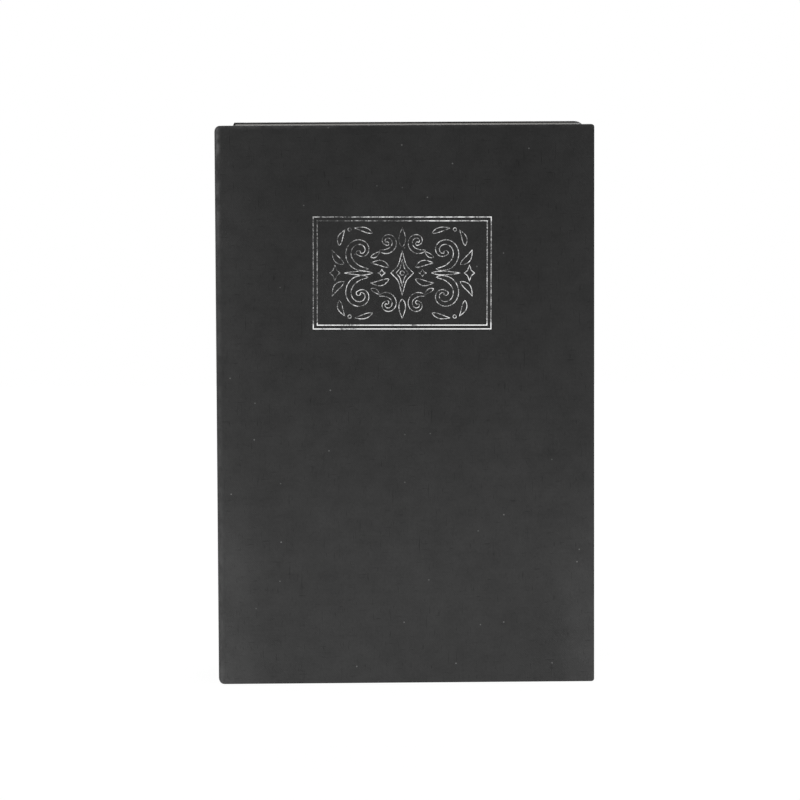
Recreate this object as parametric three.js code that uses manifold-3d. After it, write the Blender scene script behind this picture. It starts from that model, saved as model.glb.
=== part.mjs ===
// A book diversion safe: a hardback case round a moulded page frame, with a lockable steel box inside.
// Units are millimetres. The book is modelled lying on its back: x runs from the spine to the fore
// edge, y from the tail to the head and z from the back cover to the front cover. At the end it is
// stood upright on its tail, so that z is up, the front cover faces -y and the origin is under its middle.

import * as THREE from "three";
import { mergeVertices } from "three/addons/utils/BufferGeometryUtils.js";
import Module from "manifold-3d";

const wasm = await Module();
wasm.setup();

// Overall size
const bookHeight = 237.2;
const bookWidth = 160;
const bookThickness = 56;

// Case: greyboard panels wrapped in covering cloth and lined with paper
const clothThickness = 0.35;
const boardThickness = 2.3;
const paperThickness = 0.2;
const clothEdgeRadius = 0.6;
const coverCornerRadius = 1.2;
const boardEdgeRadius = 0.3;
const turnInWidth = 13;
const turnInSnip = 0.6;
const paperMargin = 0.7;
const paperStepWidth = 0.6;
const jointRadius = 3;
const spineSetback = 2.2;
const paperJointMargin = 1.5;

// Block of leaves: a moulded frame with four strips under it, ribbed outside like the edges of leaves
const headSquare = 3;
const foreSquare = 4;
const leafCount = 40;
const leafDepth = 0.35;
const frameCornerRadius = 1.4;
const frameWall = 2;
const rimThickness = 2;
const coverGap = 0.4;
const foreRimWidth = 7.6;
const endRimWidth = 8.6;
const hingeRimWidth = 9.1;
const windowCornerRadius = 3.4;
const windowLipWall = 1.2;
const windowLipDepth = 6.4;
const tabCount = 4;
const tabThickness = 1.2;
const tabReach = 3.6;
const tabHeight = 16;
const tabGap = 0.3;
const pillarRadius = 3.1;
const pillarInset = 3.9;
const pillarPilotRadius = 1.7;
const pillarPilotDepth = 9;

// Steel box: a tray and a lid, each folded from one sheet
const sheetThickness = 0.9;
const bendRadius = 1.5;
const trayCornerRadius = 3;
const lidRecess = 1.8;
const lidGap = 1;
const lidFlangeDepth = 6;
const lidFlangeClearance = 0.5;
const lidSeatGap = 0.3;
const hingeSweepGap = 1.9;
const earLength = 7.4;
const earWidth = 11;
const earLift = 3;
const earSpacingShare = 0.68;

// Rolled hinge along the spine side of the box
const pinRadius = 1.05;
const pinClearance = 0.15;
const pinEndRadius = 0.35;
const knuckleCount = 7;
const knuckleGap = 0.4;
const hingeEndInset = 3.5;
const knuckleClearance = 0.35;
const rollOpening = 0.6;
const rollLapDegrees = 12;

// Cam lock in the lid
const lockSetback = 22;
const bezelRadius = 10.5;
const bezelHeight = 1.4;
const bezelChamfer = 0.5;
const barrelRadius = 8;
const barrelFlatHalfWidth = 6.9;
const barrelLength = 14.4;
const barrelClearance = 0.15;
const plugRadius = 5.9;
const plugShoulderRadius = 6.9;
const plugShoulderHeight = 1;
const plugFaceRecess = 0.2;
const plugClearance = 0.15;
const keywayWidth = 2;
const keywayHeight = 8.2;
const keywayWardWidth = 1.1;
const keywayWardHeight = 3;
const keywayDepth = 12.4;
const nutAcrossFlats = 21;
const nutHeight = 4;
const nutChamfer = 0.8;
const washerRadius = 11.2;
const washerThickness = 0.8;
const washerToothCount = 12;
const washerToothWidth = 1.1;
const washerToothDepth = 1.2;

// Tail of the lock: stop disc, cam, spring washer and screw on a square tang
const tangWidth = 6.4;
const tangClearance = 0.15;
const stopGap = 0.3;
const stopDiscRadius = 6;
const stopDiscThickness = 0.9;
const stopTabReach = 1.8;
const stopTabWidth = 3;
const stopCollarWall = 1.7;
const stopPlayDegrees = 2;
const lockTurnDegrees = 90;
const camThickness = 1.6;
const camWidth = 10;
const camHubRadius = 6.6;
const camReach = 26;
const slotClearance = 1.35;
const springWasherRadius = 4.4;
const springWasherThickness = 0.9;
const springWasherBore = 2.3;
const springWasherSplit = 0.5;
const camScrewHeadRadius = 3.6;
const camScrewHeadHeight = 2.4;
const camScrewRadius = 1.9;
const camScrewLength = 7;
const camScrewClearance = 0.2;

// Self-tapping screws that hold the tray's ears to the frame's pillars
const screwRadius = 1.45;
const screwLength = 7.5;
const screwHeadRadius = 3;
const screwHeadHeight = 1.9;
const screwClearance = 0.35;
const recessWidth = 0.9;
const recessLength = 3;
const recessDepth = 1.1;

// How finely round forms are cut into flats
const cornerSteps = 3;
const edgeSteps = 3;
const jointSteps = 8;
const rollSteps = 28;
const roundSegments = 40;
const screwSegments = 20;

// One length by which cutting tools run past what they cut
const overrun = 2;
const weldTolerance = 1e-4;
const smallestRadius = 0.05;

// Levels through the closed book, from the back cover up
const coverDepth = clothThickness + boardThickness + clothThickness;
const backInner = coverDepth + paperThickness;
const frontInner = bookThickness - backInner;
const rimTop = frontInner - coverGap;
const rimUnder = rimTop - rimThickness;
const lidTop = rimTop - lidRecess;
const lidUnder = lidTop - sheetThickness;
const trayTop = lidUnder - lidSeatGap;
const trayBottom = backInner;
const trayFloorTop = trayBottom + sheetThickness;

// Places across and along the book
const spineFace = -bookWidth / 2;
const foreFace = bookWidth / 2;
const jointX = spineFace + jointRadius;
const frameBox = {
  left: spineFace + coverDepth,
  right: foreFace - foreSquare,
  low: headSquare,
  high: bookHeight - headSquare,
};
const windowBox = {
  left: frameBox.left + hingeRimWidth,
  right: frameBox.right - foreRimWidth,
  low: frameBox.low + endRimWidth,
  high: frameBox.high - endRimWidth,
};
const lidBox = insetBox(windowBox, lidGap);
const trayInset = lidGap + sheetThickness + lidFlangeClearance;
const trayBox = { ...insetBox(windowBox, trayInset), left: windowBox.left + hingeSweepGap };

// Hinge of the steel lid: both knuckle rolls are tangent to the sheets they are rolled from
const knuckleInner = pinRadius + pinClearance;
const knuckleOuter = knuckleInner + sheetThickness;
const hingeX = trayBox.left + knuckleOuter;
const hingeZ = lidTop - knuckleOuter;
const hingeLow = trayBox.low + hingeEndInset;
const hingeHigh = trayBox.high - hingeEndInset;
const knuckleLength = (hingeHigh - hingeLow - knuckleGap * (knuckleCount - 1)) / knuckleCount;

// Lock
const lockX = trayBox.right - lockSetback;
const lockY = bookHeight / 2;
const barrelEnd = lidTop - barrelLength;
const stopDiscTop = barrelEnd - stopGap;
const camTop = stopDiscTop - stopDiscThickness;
const camBottom = camTop - camThickness;
const springWasherBottom = camBottom - springWasherThickness;

// Ears and screws
const earTop = trayBottom + earLift + sheetThickness;
const earBottom = trayBottom + earLift;
const pillarPlaces = [-1, 1].flatMap((side) =>
  [
    { y: trayBox.low - pillarInset, outward: -1 },
    { y: trayBox.high + pillarInset, outward: 1 },
  ].map(({ y, outward }) => ({
    x: (trayBox.left + trayBox.right) / 2 + (side * earSpacingShare * (trayBox.right - trayBox.left)) / 2,
    y,
    outward,
  })),
);

// Finishes
const finish = (color, roughness, metalness = 0) =>
  new THREE.MeshStandardMaterial({ color, roughness, metalness });
const coverCloth = finish(0x2e2e2e, 0.72);
const greyboard = finish(0x8d8578, 0.95);
const liningPaper = finish(0xe9e6dc, 0.9);
const framePlastic = finish(0xe6e0cf, 0.55);
const blackSteel = finish(0x1f2022, 0.5, 0.3);
const nickel = finish(0xc9c8c4, 0.25, 1);
const zinc = finish(0xa9abad, 0.4, 1);
const brass = finish(0xb59a55, 0.35, 1);

// Basic shapes

function insetBox(box, inset) {
  return {
    left: box.left + inset,
    right: box.right - inset,
    low: box.low + inset,
    high: box.high - inset,
  };
}

function solidOf(geometry) {
  const bare = geometry.index ? geometry.toNonIndexed() : geometry.clone();
  for (const name of Object.keys(bare.attributes)) if (name !== "position") bare.deleteAttribute(name);
  const merged = mergeVertices(bare, weldTolerance);
  const corners = merged.index.array;
  const kept = [];
  for (let i = 0; i < corners.length; i += 3) {
    const [a, b, c] = [corners[i], corners[i + 1], corners[i + 2]];
    if (a !== b && b !== c && a !== c) kept.push(a, b, c);
  }
  return new wasm.Manifold(
    new wasm.Mesh({
      numProp: 3,
      vertProperties: merged.attributes.position.array,
      triVerts: new Uint32Array(kept),
    }),
  );
}

function geometryOf(solid) {
  const { numProp, vertProperties, triVerts } = solid.getMesh();
  const positions = new Float32Array((vertProperties.length / numProp) * 3);
  for (let i = 0; i < positions.length / 3; i++) {
    positions.set(vertProperties.subarray(i * numProp, i * numProp + 3), i * 3);
  }
  return new THREE.BufferGeometry()
    .setAttribute("position", new THREE.BufferAttribute(positions, 3))
    .setIndex(new THREE.BufferAttribute(triVerts, 1));
}

// A closed skin over rings of equal length, the first and last of which are filled in.
function loft(rings) {
  const size = rings[0].length;
  const positions = rings.flat().flatMap(({ x, y, z }) => [x, y, z]);
  const faces = [];
  for (let r = 0; r < rings.length - 1; r++) {
    for (let k = 0; k < size; k++) {
      const next = (k + 1) % size;
      const [a, b] = [r * size + k, r * size + next];
      const [c, d] = [b + size, a + size];
      faces.push([a, b, c], [a, c, d]);
    }
  }
  const last = (rings.length - 1) * size;
  for (let k = 1; k < size - 1; k++) {
    faces.push([0, k + 1, k], [last, last + k, last + k + 1]);
  }
  const point = (i) => new THREE.Vector3().fromArray(positions, i * 3);
  const volume = faces.reduce((sum, [a, b, c]) => sum + point(a).dot(point(b).cross(point(c))), 0);
  const facing = volume < 0 ? faces.map(([a, b, c]) => [a, c, b]) : faces;
  return new THREE.BufferGeometry()
    .setAttribute("position", new THREE.Float32BufferAttribute(positions, 3))
    .setIndex(facing.flat());
}

// A rectangle with round corners at height z, as a ring of points.
function rectangleRing(box, radius, z) {
  const r = Math.max(radius, smallestRadius);
  const centres = [
    [box.right - r, box.high - r],
    [box.left + r, box.high - r],
    [box.left + r, box.low + r],
    [box.right - r, box.low + r],
  ];
  return centres.flatMap(([x, y], corner) =>
    Array.from({ length: cornerSteps + 1 }, (_, step) => {
      const angle = ((corner + step / cornerSteps) * Math.PI) / 2;
      return new THREE.Vector3(x + r * Math.cos(angle), y + r * Math.sin(angle), z);
    }),
  );
}

// Carries a profile of [inset, z] points round a rectangle with round corners, as a lathe does round a circle.
function rectangleLathe(box, radius, profile) {
  return loft(profile.map(([inset, z]) => rectangleRing(insetBox(box, inset), radius - inset, z)));
}

// Profile points of a quarter round from [inset, z] along one way to the other.
function quarterRound(insetFrom, zFrom, insetTo, zTo, bulgesOut) {
  return Array.from({ length: edgeSteps + 1 }, (_, step) => {
    const angle = ((step / edgeSteps) * Math.PI) / 2;
    const first = bulgesOut ? Math.sin(angle) : 1 - Math.cos(angle);
    const second = bulgesOut ? 1 - Math.cos(angle) : Math.sin(angle);
    return [insetFrom + (insetTo - insetFrom) * first, zFrom + (zTo - zFrom) * second];
  });
}

function block(box, low, high) {
  return new THREE.BoxGeometry(box.right - box.left, box.high - box.low, high - low).translate(
    (box.left + box.right) / 2,
    (box.low + box.high) / 2,
    (low + high) / 2,
  );
}

// A flat panel with round corners and slightly rounded edges.
function panel(box, cornerRadius, edgeRadius, low, high) {
  return rectangleLathe(box, cornerRadius, [
    ...quarterRound(edgeRadius, low, 0, low + edgeRadius, true),
    ...quarterRound(0, high - edgeRadius, edgeRadius, high, false),
  ]);
}

// A cylinder or cone frustum that stands on z = low.
function upright(radiusLow, radiusHigh, low, high, x, y, segments = roundSegments) {
  return new THREE.CylinderGeometry(radiusHigh, radiusLow, high - low, segments)
    .rotateX(Math.PI / 2)
    .translate(x, y, (low + high) / 2);
}

// A solid of revolution about the upright axis at x, y. The profile is [radius, z] points.
function turned(profile, x, y, segments = roundSegments) {
  const points = profile.map(([radius, z]) => new THREE.Vector2(radius, z));
  return new THREE.LatheGeometry(points, segments).rotateX(Math.PI / 2).translate(x, y, 0);
}

// A section drawn in x and z, drawn out along y from low to high.
function barAlongY(shape, low, high) {
  return new THREE.ExtrudeGeometry(shape, { depth: high - low, bevelEnabled: false, curveSegments: rollSteps })
    .rotateX(Math.PI / 2)
    .translate(0, high, 0);
}

function named(name, solid, material) {
  const mesh = new THREE.Mesh(geometryOf(solid), material);
  mesh.name = name;
  return mesh;
}

// Case

const coverBox = { left: jointX, right: foreFace, low: 0, high: bookHeight };
const leftOfJoint = {
  left: spineFace - bookWidth,
  right: jointX,
  low: -overrun,
  high: bookHeight + overrun,
};

function cutAtJoint(solid, margin = 0) {
  const box = { ...leftOfJoint, right: leftOfJoint.right + margin };
  return solid.subtract(solidOf(block(box, -overrun, bookThickness + overrun)));
}

// Covering cloth of one cover: the outer face, the folds over three edges and the turn-ins behind them.
function coverWrap(outerZ, inward) {
  const box = { ...coverBox, left: coverBox.left - turnInWidth - overrun };
  const innerZ = outerZ + inward * coverDepth;
  const edge = inward * clothEdgeRadius;
  const cloth = inward * clothThickness;
  const wrap = rectangleLathe(box, coverCornerRadius, [
    ...quarterRound(clothEdgeRadius, outerZ, 0, outerZ + edge, true),
    ...quarterRound(0, innerZ - edge, clothEdgeRadius, innerZ, false),
    [turnInWidth, innerZ],
    [turnInWidth, innerZ - cloth],
    [clothThickness, innerZ - cloth],
    [clothThickness, outerZ + cloth],
  ]);
  return cutAtJoint(solidOf(wrap));
}

function coverBoard(outerZ, inward) {
  const box = {
    left: jointX,
    right: foreFace - clothThickness,
    low: clothThickness,
    high: bookHeight - clothThickness,
  };
  const faces = [clothThickness, clothThickness + boardThickness].map((depth) => outerZ + inward * depth);
  const [low, high] = faces.sort((a, b) => a - b);
  return solidOf(panel(box, coverCornerRadius, boardEdgeRadius, low, high));
}

// Pasted lining: it lies over the turn-ins and steps down to the board inside them.
function coverLining(outerZ, inward) {
  const box = { ...coverBox, left: coverBox.left - turnInWidth - paperStepWidth - overrun };
  const laid = outerZ + inward * coverDepth;
  const step = inward * clothThickness;
  const paper = inward * paperThickness;
  const lining = rectangleLathe(box, coverCornerRadius, [
    [turnInWidth + paperStepWidth, laid - step + paper],
    [turnInWidth, laid + paper],
    [paperMargin, laid + paper],
    [paperMargin, laid],
    [turnInWidth, laid],
    [turnInWidth + paperStepWidth, laid - step],
  ]);
  return cutAtJoint(solidOf(lining), paperJointMargin);
}

// Cloth round a joint: a quarter tube whose ends draw in from the cover's height to the spine's.
function jointWrap(centreZ, towardsCover) {
  const angles = Array.from({ length: jointSteps + 1 }, (_, step) => ((step / jointSteps) * Math.PI) / 2);
  const ring = (angle, slideX, slideZ) => {
    const drawIn = clothEdgeRadius + spineSetback * (1 - Math.sin(angle));
    const at = (radius, y) =>
      new THREE.Vector3(
        jointX - radius * Math.cos(angle) + slideX,
        y,
        centreZ + towardsCover * radius * Math.sin(angle) + slideZ,
      );
    const inner = jointRadius - clothThickness;
    return [
      at(jointRadius, drawIn),
      at(jointRadius, bookHeight - drawIn),
      at(inner, bookHeight - drawIn),
      at(inner, drawIn),
    ];
  };
  return { rings: angles.map((angle) => ring(angle, 0, 0)), ring };
}

function spineWrap() {
  const [low, high] = [spineSetback, bookHeight - spineSetback];
  const inner = spineFace + coverDepth;
  const edge = clothEdgeRadius;
  const shape = new THREE.Shape()
    .moveTo(inner, low)
    .lineTo(inner, low + turnInWidth)
    .lineTo(inner - clothThickness, low + turnInWidth)
    .lineTo(inner - clothThickness, low + clothThickness)
    .lineTo(spineFace + clothThickness, low + clothThickness)
    .lineTo(spineFace + clothThickness, high - clothThickness)
    .lineTo(inner - clothThickness, high - clothThickness)
    .lineTo(inner - clothThickness, high - turnInWidth)
    .lineTo(inner, high - turnInWidth)
    .lineTo(inner, high)
    .lineTo(spineFace + edge, high)
    .absarc(spineFace + edge, high - edge, edge, Math.PI / 2, Math.PI, false)
    .lineTo(spineFace, low + edge)
    .absarc(spineFace + edge, low + edge, edge, Math.PI, Math.PI * 1.5, false)
    .closePath();
  const depth = bookThickness - 2 * jointRadius;
  return solidOf(
    new THREE.ExtrudeGeometry(shape, { depth, bevelEnabled: false, curveSegments: edgeSteps }).translate(
      0,
      0,
      jointRadius,
    ),
  );
}

// One sheet of cloth covers the spine and the back, so they are a single piece. Its turn-ins are
// snipped away where they would meet inside the joint.
function caseWrap() {
  const { rings, ring } = jointWrap(jointRadius, -1);
  const backJoint = loft([ring(0, 0, overrun), ...rings, ring(Math.PI / 2, overrun, 0)]);
  const snip = {
    left: jointX - turnInSnip,
    right: jointX + turnInSnip,
    low: -overrun,
    high: bookHeight + overrun,
  };
  return coverWrap(0, 1)
    .add(solidOf(backJoint))
    .add(spineWrap())
    .subtract(solidOf(block(snip, coverDepth - turnInSnip, coverDepth + turnInSnip)));
}

function spineBoard() {
  const box = {
    left: spineFace + clothThickness,
    right: spineFace + clothThickness + boardThickness,
    low: spineSetback + clothThickness,
    high: bookHeight - spineSetback - clothThickness,
  };
  return solidOf(block(box, jointRadius, bookThickness - jointRadius));
}

// Page frame

// Outside of the block of leaves: a groove between each pair of leaf bundles, except at the spine.
function leafBlock() {
  const pitch = (rimTop - backInner) / leafCount;
  const profile = Array.from({ length: 2 * leafCount + 1 }, (_, step) => {
    const isGroove = step % 2 === 0;
    return [isGroove ? leafDepth : 0, backInner + (step * pitch) / 2];
  });
  const box = { ...frameBox, left: frameBox.left - overrun };
  const beyondSpine = { ...insetBox(box, -overrun), right: frameBox.left };
  return solidOf(rectangleLathe(box, frameCornerRadius, profile)).subtract(
    solidOf(block(beyondSpine, backInner - overrun, rimTop + overrun)),
  );
}

const blockCavity = insetBox(frameBox, frameWall + leafDepth);

// Strips under the frame. Those at the head and the tail run the full width, the others between them.
function pageEdge(box) {
  return leafBlock().intersect(solidOf(block(box, backInner - overrun, rimUnder)));
}

const beyondBlock = insetBox(frameBox, -overrun);
const edgeBoxes = {
  page_edge_head: { ...beyondBlock, low: blockCavity.high },
  page_edge_tail: { ...beyondBlock, high: blockCavity.low },
  page_edge_fore: { ...blockCavity, left: blockCavity.right, right: beyondBlock.right },
  page_edge_spine: { ...blockCavity, left: beyondBlock.left, right: blockCavity.left },
};

// Three-cornered tabs under the frame, which stand behind the two long strips and keep them in place.
function locatingTabs() {
  const sections = [
    { wall: blockCavity.left, inward: 1 },
    { wall: blockCavity.right, inward: -1 },
  ].map(({ wall, inward }) =>
    new THREE.Shape()
      .moveTo(wall + inward * tabGap, rimUnder + rimThickness / 2)
      .lineTo(wall + inward * tabGap, rimUnder - tabHeight)
      .lineTo(wall + inward * (tabGap + tabThickness), rimUnder - tabHeight)
      .lineTo(wall + inward * tabReach, rimUnder)
      .lineTo(wall + inward * tabReach, rimUnder + rimThickness / 2)
      .closePath(),
  );
  return Array.from({ length: tabCount }, (_, i) => {
    const y = blockCavity.low + ((blockCavity.high - blockCavity.low) * (i + 1)) / (tabCount + 1);
    return sections.map((section) =>
      solidOf(barAlongY(section, y - tabThickness / 2, y + tabThickness / 2)),
    );
  }).flat();
}

function pageFrame() {
  const lipBox = insetBox(windowBox, -windowLipWall);
  const lipLow = rimTop - windowLipDepth;
  const lip = panel(lipBox, windowCornerRadius + windowLipWall, boardEdgeRadius, lipLow, rimTop);
  const window = rectangleLathe(windowBox, windowCornerRadius, [
    [0, lipLow - overrun],
    [0, rimTop + overrun],
  ]);
  let frame = leafBlock()
    .intersect(solidOf(block(beyondBlock, rimUnder, rimTop + overrun)))
    .add(solidOf(lip));
  for (const tab of locatingTabs()) frame = frame.add(tab);
  for (const { x, y } of pillarPlaces) {
    const pillar = upright(pillarRadius, pillarRadius, earTop, rimUnder + rimThickness / 2, x, y, screwSegments);
    frame = frame.add(solidOf(pillar));
  }
  frame = frame.subtract(solidOf(window));
  for (const { x, y } of pillarPlaces) {
    const top = earTop + pillarPilotDepth;
    const pilot = upright(pillarPilotRadius, pillarPilotRadius, earTop - overrun, top, x, y, screwSegments);
    frame = frame.subtract(solidOf(pilot));
  }
  return frame;
}

// Steel box

// Section of a rolled knuckle: a ring of sheet that starts at one angle and nearly closes.
function rollSection(from, to) {
  const ends = (rollOpening / knuckleInner) * Math.sign(to - from);
  return new THREE.Shape()
    .absarc(hingeX, hingeZ, knuckleOuter, from, to - ends, to < from)
    .absarc(hingeX, hingeZ, knuckleInner, to - ends, from, to > from)
    .closePath();
}

function knuckleSpan(index) {
  const low = hingeLow + index * (knuckleLength + knuckleGap);
  return { low, high: low + knuckleLength };
}

function knuckles(onLid) {
  const lap = THREE.MathUtils.degToRad(rollLapDegrees);
  const rolls = onLid ? [Math.PI / 2 - lap, 2 * Math.PI] : [Math.PI + lap, -Math.PI / 2];
  const section = rollSection(...rolls);
  const mine = Array.from({ length: knuckleCount }, (_, i) => i).filter((i) => (i % 2 === 1) === onLid);
  return mine.map((i) => ({ ...knuckleSpan(i), section }));
}

function trayShell() {
  const outer = bendRadius;
  const inner = Math.max(bendRadius - sheetThickness, smallestRadius);
  const shell = rectangleLathe(trayBox, trayCornerRadius, [
    ...quarterRound(outer, trayBottom, 0, trayBottom + outer, true),
    [0, trayTop],
    [sheetThickness, trayTop],
    ...quarterRound(sheetThickness, trayFloorTop + inner, sheetThickness + inner, trayFloorTop, false),
  ]);
  return solidOf(shell);
}

function tray() {
  let made = trayShell();
  const wall = { left: trayBox.left, right: trayBox.left + sheetThickness };
  const beside = { left: trayBox.left - overrun, right: trayBox.left + overrun };
  const notchBottom = hingeZ - knuckleOuter - knuckleClearance;

  // The hinge wall is cut away between the tray's own knuckles.
  made = made.subtract(
    solidOf(block({ ...beside, low: hingeLow, high: hingeHigh }, notchBottom, trayTop + overrun)),
  );
  for (const { low, high, section } of knuckles(false)) {
    const riser = block({ ...wall, low, high }, notchBottom - overrun, hingeZ);
    made = made.add(solidOf(riser)).add(solidOf(barAlongY(section, low, high)));
  }

  // Slot for the cam: as long as the cam's tip sweeps while it passes through the wall.
  const wallX = trayBox.right - sheetThickness - lockX;
  const sweep = Math.sqrt(camReach ** 2 - wallX ** 2);
  const slot = {
    left: trayBox.right - overrun,
    right: trayBox.right + overrun,
    low: lockY - sweep - slotClearance,
    high: lockY + camWidth / 2 + slotClearance,
  };
  made = made.subtract(solidOf(block(slot, camBottom - slotClearance, camTop + slotClearance)));

  for (const { x, y, outward } of pillarPlaces) {
    const wallY = outward < 0 ? trayBox.low : trayBox.high;
    const ends = [wallY - outward * (sheetThickness / 2), wallY + outward * earLength];
    const ear = {
      left: x - earWidth / 2,
      right: x + earWidth / 2,
      low: Math.min(...ends),
      high: Math.max(...ends),
    };
    const hole = screwRadius + screwClearance;
    made = made
      .add(solidOf(block(ear, earBottom, earTop)))
      .subtract(solidOf(upright(hole, hole, earBottom - overrun, earTop + overrun, x, y, screwSegments)));
  }
  return made;
}

function lid() {
  const outer = bendRadius;
  const inner = Math.max(bendRadius - sheetThickness, smallestRadius);
  const flangeEnd = lidTop - lidFlangeDepth;
  const box = { ...lidBox, left: lidBox.left - trayCornerRadius - overrun };
  const shell = rectangleLathe(box, trayCornerRadius + sheetThickness + lidFlangeClearance, [
    ...quarterRound(outer, lidTop, 0, lidTop - outer, true),
    [0, flangeEnd],
    [sheetThickness, flangeEnd],
    ...quarterRound(sheetThickness, lidUnder - inner, sheetThickness + inner, lidUnder, false),
  ]);
  const plateLeft = hingeX + knuckleOuter + knuckleClearance;
  const beyond = { ...insetBox(box, -overrun), right: plateLeft };
  let made = solidOf(shell).subtract(solidOf(block(beyond, flangeEnd - overrun, lidTop + overrun)));
  for (const { low, high, section } of knuckles(true)) {
    const leaf = block({ left: hingeX, right: plateLeft + overrun, low, high }, lidUnder, lidTop);
    made = made.add(solidOf(leaf)).add(solidOf(barAlongY(section, low, high)));
  }
  return made.subtract(solidOf(barrelForm(barrelClearance, lidUnder - overrun, lidTop + overrun)));
}

function hingePin() {
  const r = pinRadius;
  const tip = pinEndRadius;
  const length = hingeHigh - hingeLow;
  const profile = [
    [0, 0],
    [r - tip, 0],
    [r, tip],
    [r, length - tip],
    [r - tip, length],
    [0, length],
  ].map(([radius, along]) => new THREE.Vector2(radius, along));
  return solidOf(new THREE.LatheGeometry(profile, screwSegments).translate(hingeX, hingeLow, hingeZ));
}

// Lock

// The barrel's double-D form, grown by a clearance for the hole that takes it.
function barrelForm(grown, low, high) {
  const half = barrelFlatHalfWidth + grown;
  const reach = barrelRadius + grown;
  const start = Math.acos(half / reach);
  const shape = new THREE.Shape()
    .absarc(0, 0, reach, start, Math.PI - start, false)
    .absarc(0, 0, reach, Math.PI + start, 2 * Math.PI - start, false)
    .closePath();
  return new THREE.ExtrudeGeometry(shape, {
    depth: high - low,
    bevelEnabled: false,
    curveSegments: roundSegments / 2,
  }).translate(lockX, lockY, low);
}

function lockBarrel() {
  const bezelTop = lidTop + bezelHeight;
  const bezel = turned(
    [
      [0, lidTop],
      [bezelRadius, lidTop],
      [bezelRadius, bezelTop - bezelChamfer],
      [bezelRadius - bezelChamfer, bezelTop],
      [0, bezelTop],
    ],
    lockX,
    lockY,
  );
  const boreRadius = plugRadius + plugClearance;
  const seatRadius = plugShoulderRadius + plugClearance;
  const seatBottom = bezelTop - plugFaceRecess - plugShoulderHeight - plugClearance;
  const collarLow = barrelEnd - stopGap - stopDiscThickness / 2;
  const collar = upright(barrelRadius, barrelRadius, collarLow, barrelEnd + overrun, lockX, lockY);
  const collarBore = barrelRadius - stopCollarWall;
  return solidOf(bezel)
    .add(solidOf(barrelForm(0, barrelEnd, lidTop + bezelHeight / 2)))
    .add(solidOf(collar).intersect(solidOf(barrelForm(0, collarLow, barrelEnd + overrun))))
    .subtract(solidOf(upright(boreRadius, boreRadius, collarLow - overrun, bezelTop + overrun, lockX, lockY)))
    .subtract(solidOf(upright(seatRadius, seatRadius, seatBottom, bezelTop + overrun, lockX, lockY)))
    .subtract(solidOf(upright(collarBore, collarBore, collarLow - overrun, barrelEnd, lockX, lockY)))
    .subtract(stopWindow(collarLow));
}

// Space in the collar through which the stop disc's tab swings.
function stopWindow(collarLow) {
  const reach = barrelRadius + overrun;
  const tabHalf = Math.asin(stopTabWidth / 2 / (barrelRadius - stopCollarWall));
  const play = THREE.MathUtils.degToRad(stopPlayDegrees);
  const turn = THREE.MathUtils.degToRad(lockTurnDegrees);
  const from = -Math.PI / 2 - tabHalf - play;
  const to = -Math.PI / 2 + turn + tabHalf + play;
  const shape = new THREE.Shape()
    .moveTo(0, 0)
    .lineTo(reach * Math.cos(from), reach * Math.sin(from))
    .absarc(0, 0, reach, from, to, false)
    .closePath();
  const wedge = new THREE.ExtrudeGeometry(shape, {
    depth: barrelEnd - collarLow + overrun,
    bevelEnabled: false,
    curveSegments: cornerSteps * 4,
  });
  return solidOf(wedge.translate(lockX, lockY, collarLow - overrun));
}

function keyway() {
  const top = lidTop + bezelHeight - plugFaceRecess;
  const slot = {
    left: lockX - keywayWidth / 2,
    right: lockX + keywayWidth / 2,
    low: lockY - keywayHeight / 2,
    high: lockY + keywayHeight / 2,
  };
  const ward = {
    left: slot.right - keywayWardWidth,
    right: slot.right + keywayWardWidth,
    low: lockY - keywayWardHeight / 2,
    high: lockY + keywayWardHeight / 2,
  };
  const cut = (box) => solidOf(block(box, top - keywayDepth, top + overrun));
  return cut(slot).add(cut(ward));
}

function squareAtLock(width, low, high) {
  const half = width / 2;
  return block({ left: lockX - half, right: lockX + half, low: lockY - half, high: lockY + half }, low, high);
}

function lockPlug() {
  const face = lidTop + bezelHeight - plugFaceRecess;
  const shoulder = face - plugShoulderHeight;
  const body = turned(
    [
      [0, barrelEnd],
      [plugRadius, barrelEnd],
      [plugRadius, shoulder],
      [plugShoulderRadius, shoulder],
      [plugShoulderRadius, face],
      [0, face],
    ],
    lockX,
    lockY,
  );
  const tangEnd = camBottom + camScrewClearance;
  const threadRadius = camScrewRadius + camScrewClearance;
  const threadTop = springWasherBottom + camScrewLength + camScrewClearance;
  return solidOf(body)
    .add(solidOf(squareAtLock(tangWidth, tangEnd, barrelEnd + overrun)))
    .subtract(
      solidOf(upright(threadRadius, threadRadius, tangEnd - overrun, threadTop, lockX, lockY, screwSegments)),
    )
    .subtract(keyway());
}

function stopDisc() {
  const low = stopDiscTop - stopDiscThickness;
  const disc = upright(stopDiscRadius, stopDiscRadius, low, stopDiscTop, lockX, lockY);
  const tab = {
    left: lockX - stopTabWidth / 2,
    right: lockX + stopTabWidth / 2,
    low: lockY - stopDiscRadius - stopTabReach,
    high: lockY - stopDiscRadius / 2,
  };
  const hole = squareAtLock(tangWidth + 2 * tangClearance, low - overrun, stopDiscTop + overrun);
  return solidOf(disc).add(solidOf(block(tab, low, stopDiscTop))).subtract(solidOf(hole));
}

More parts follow.
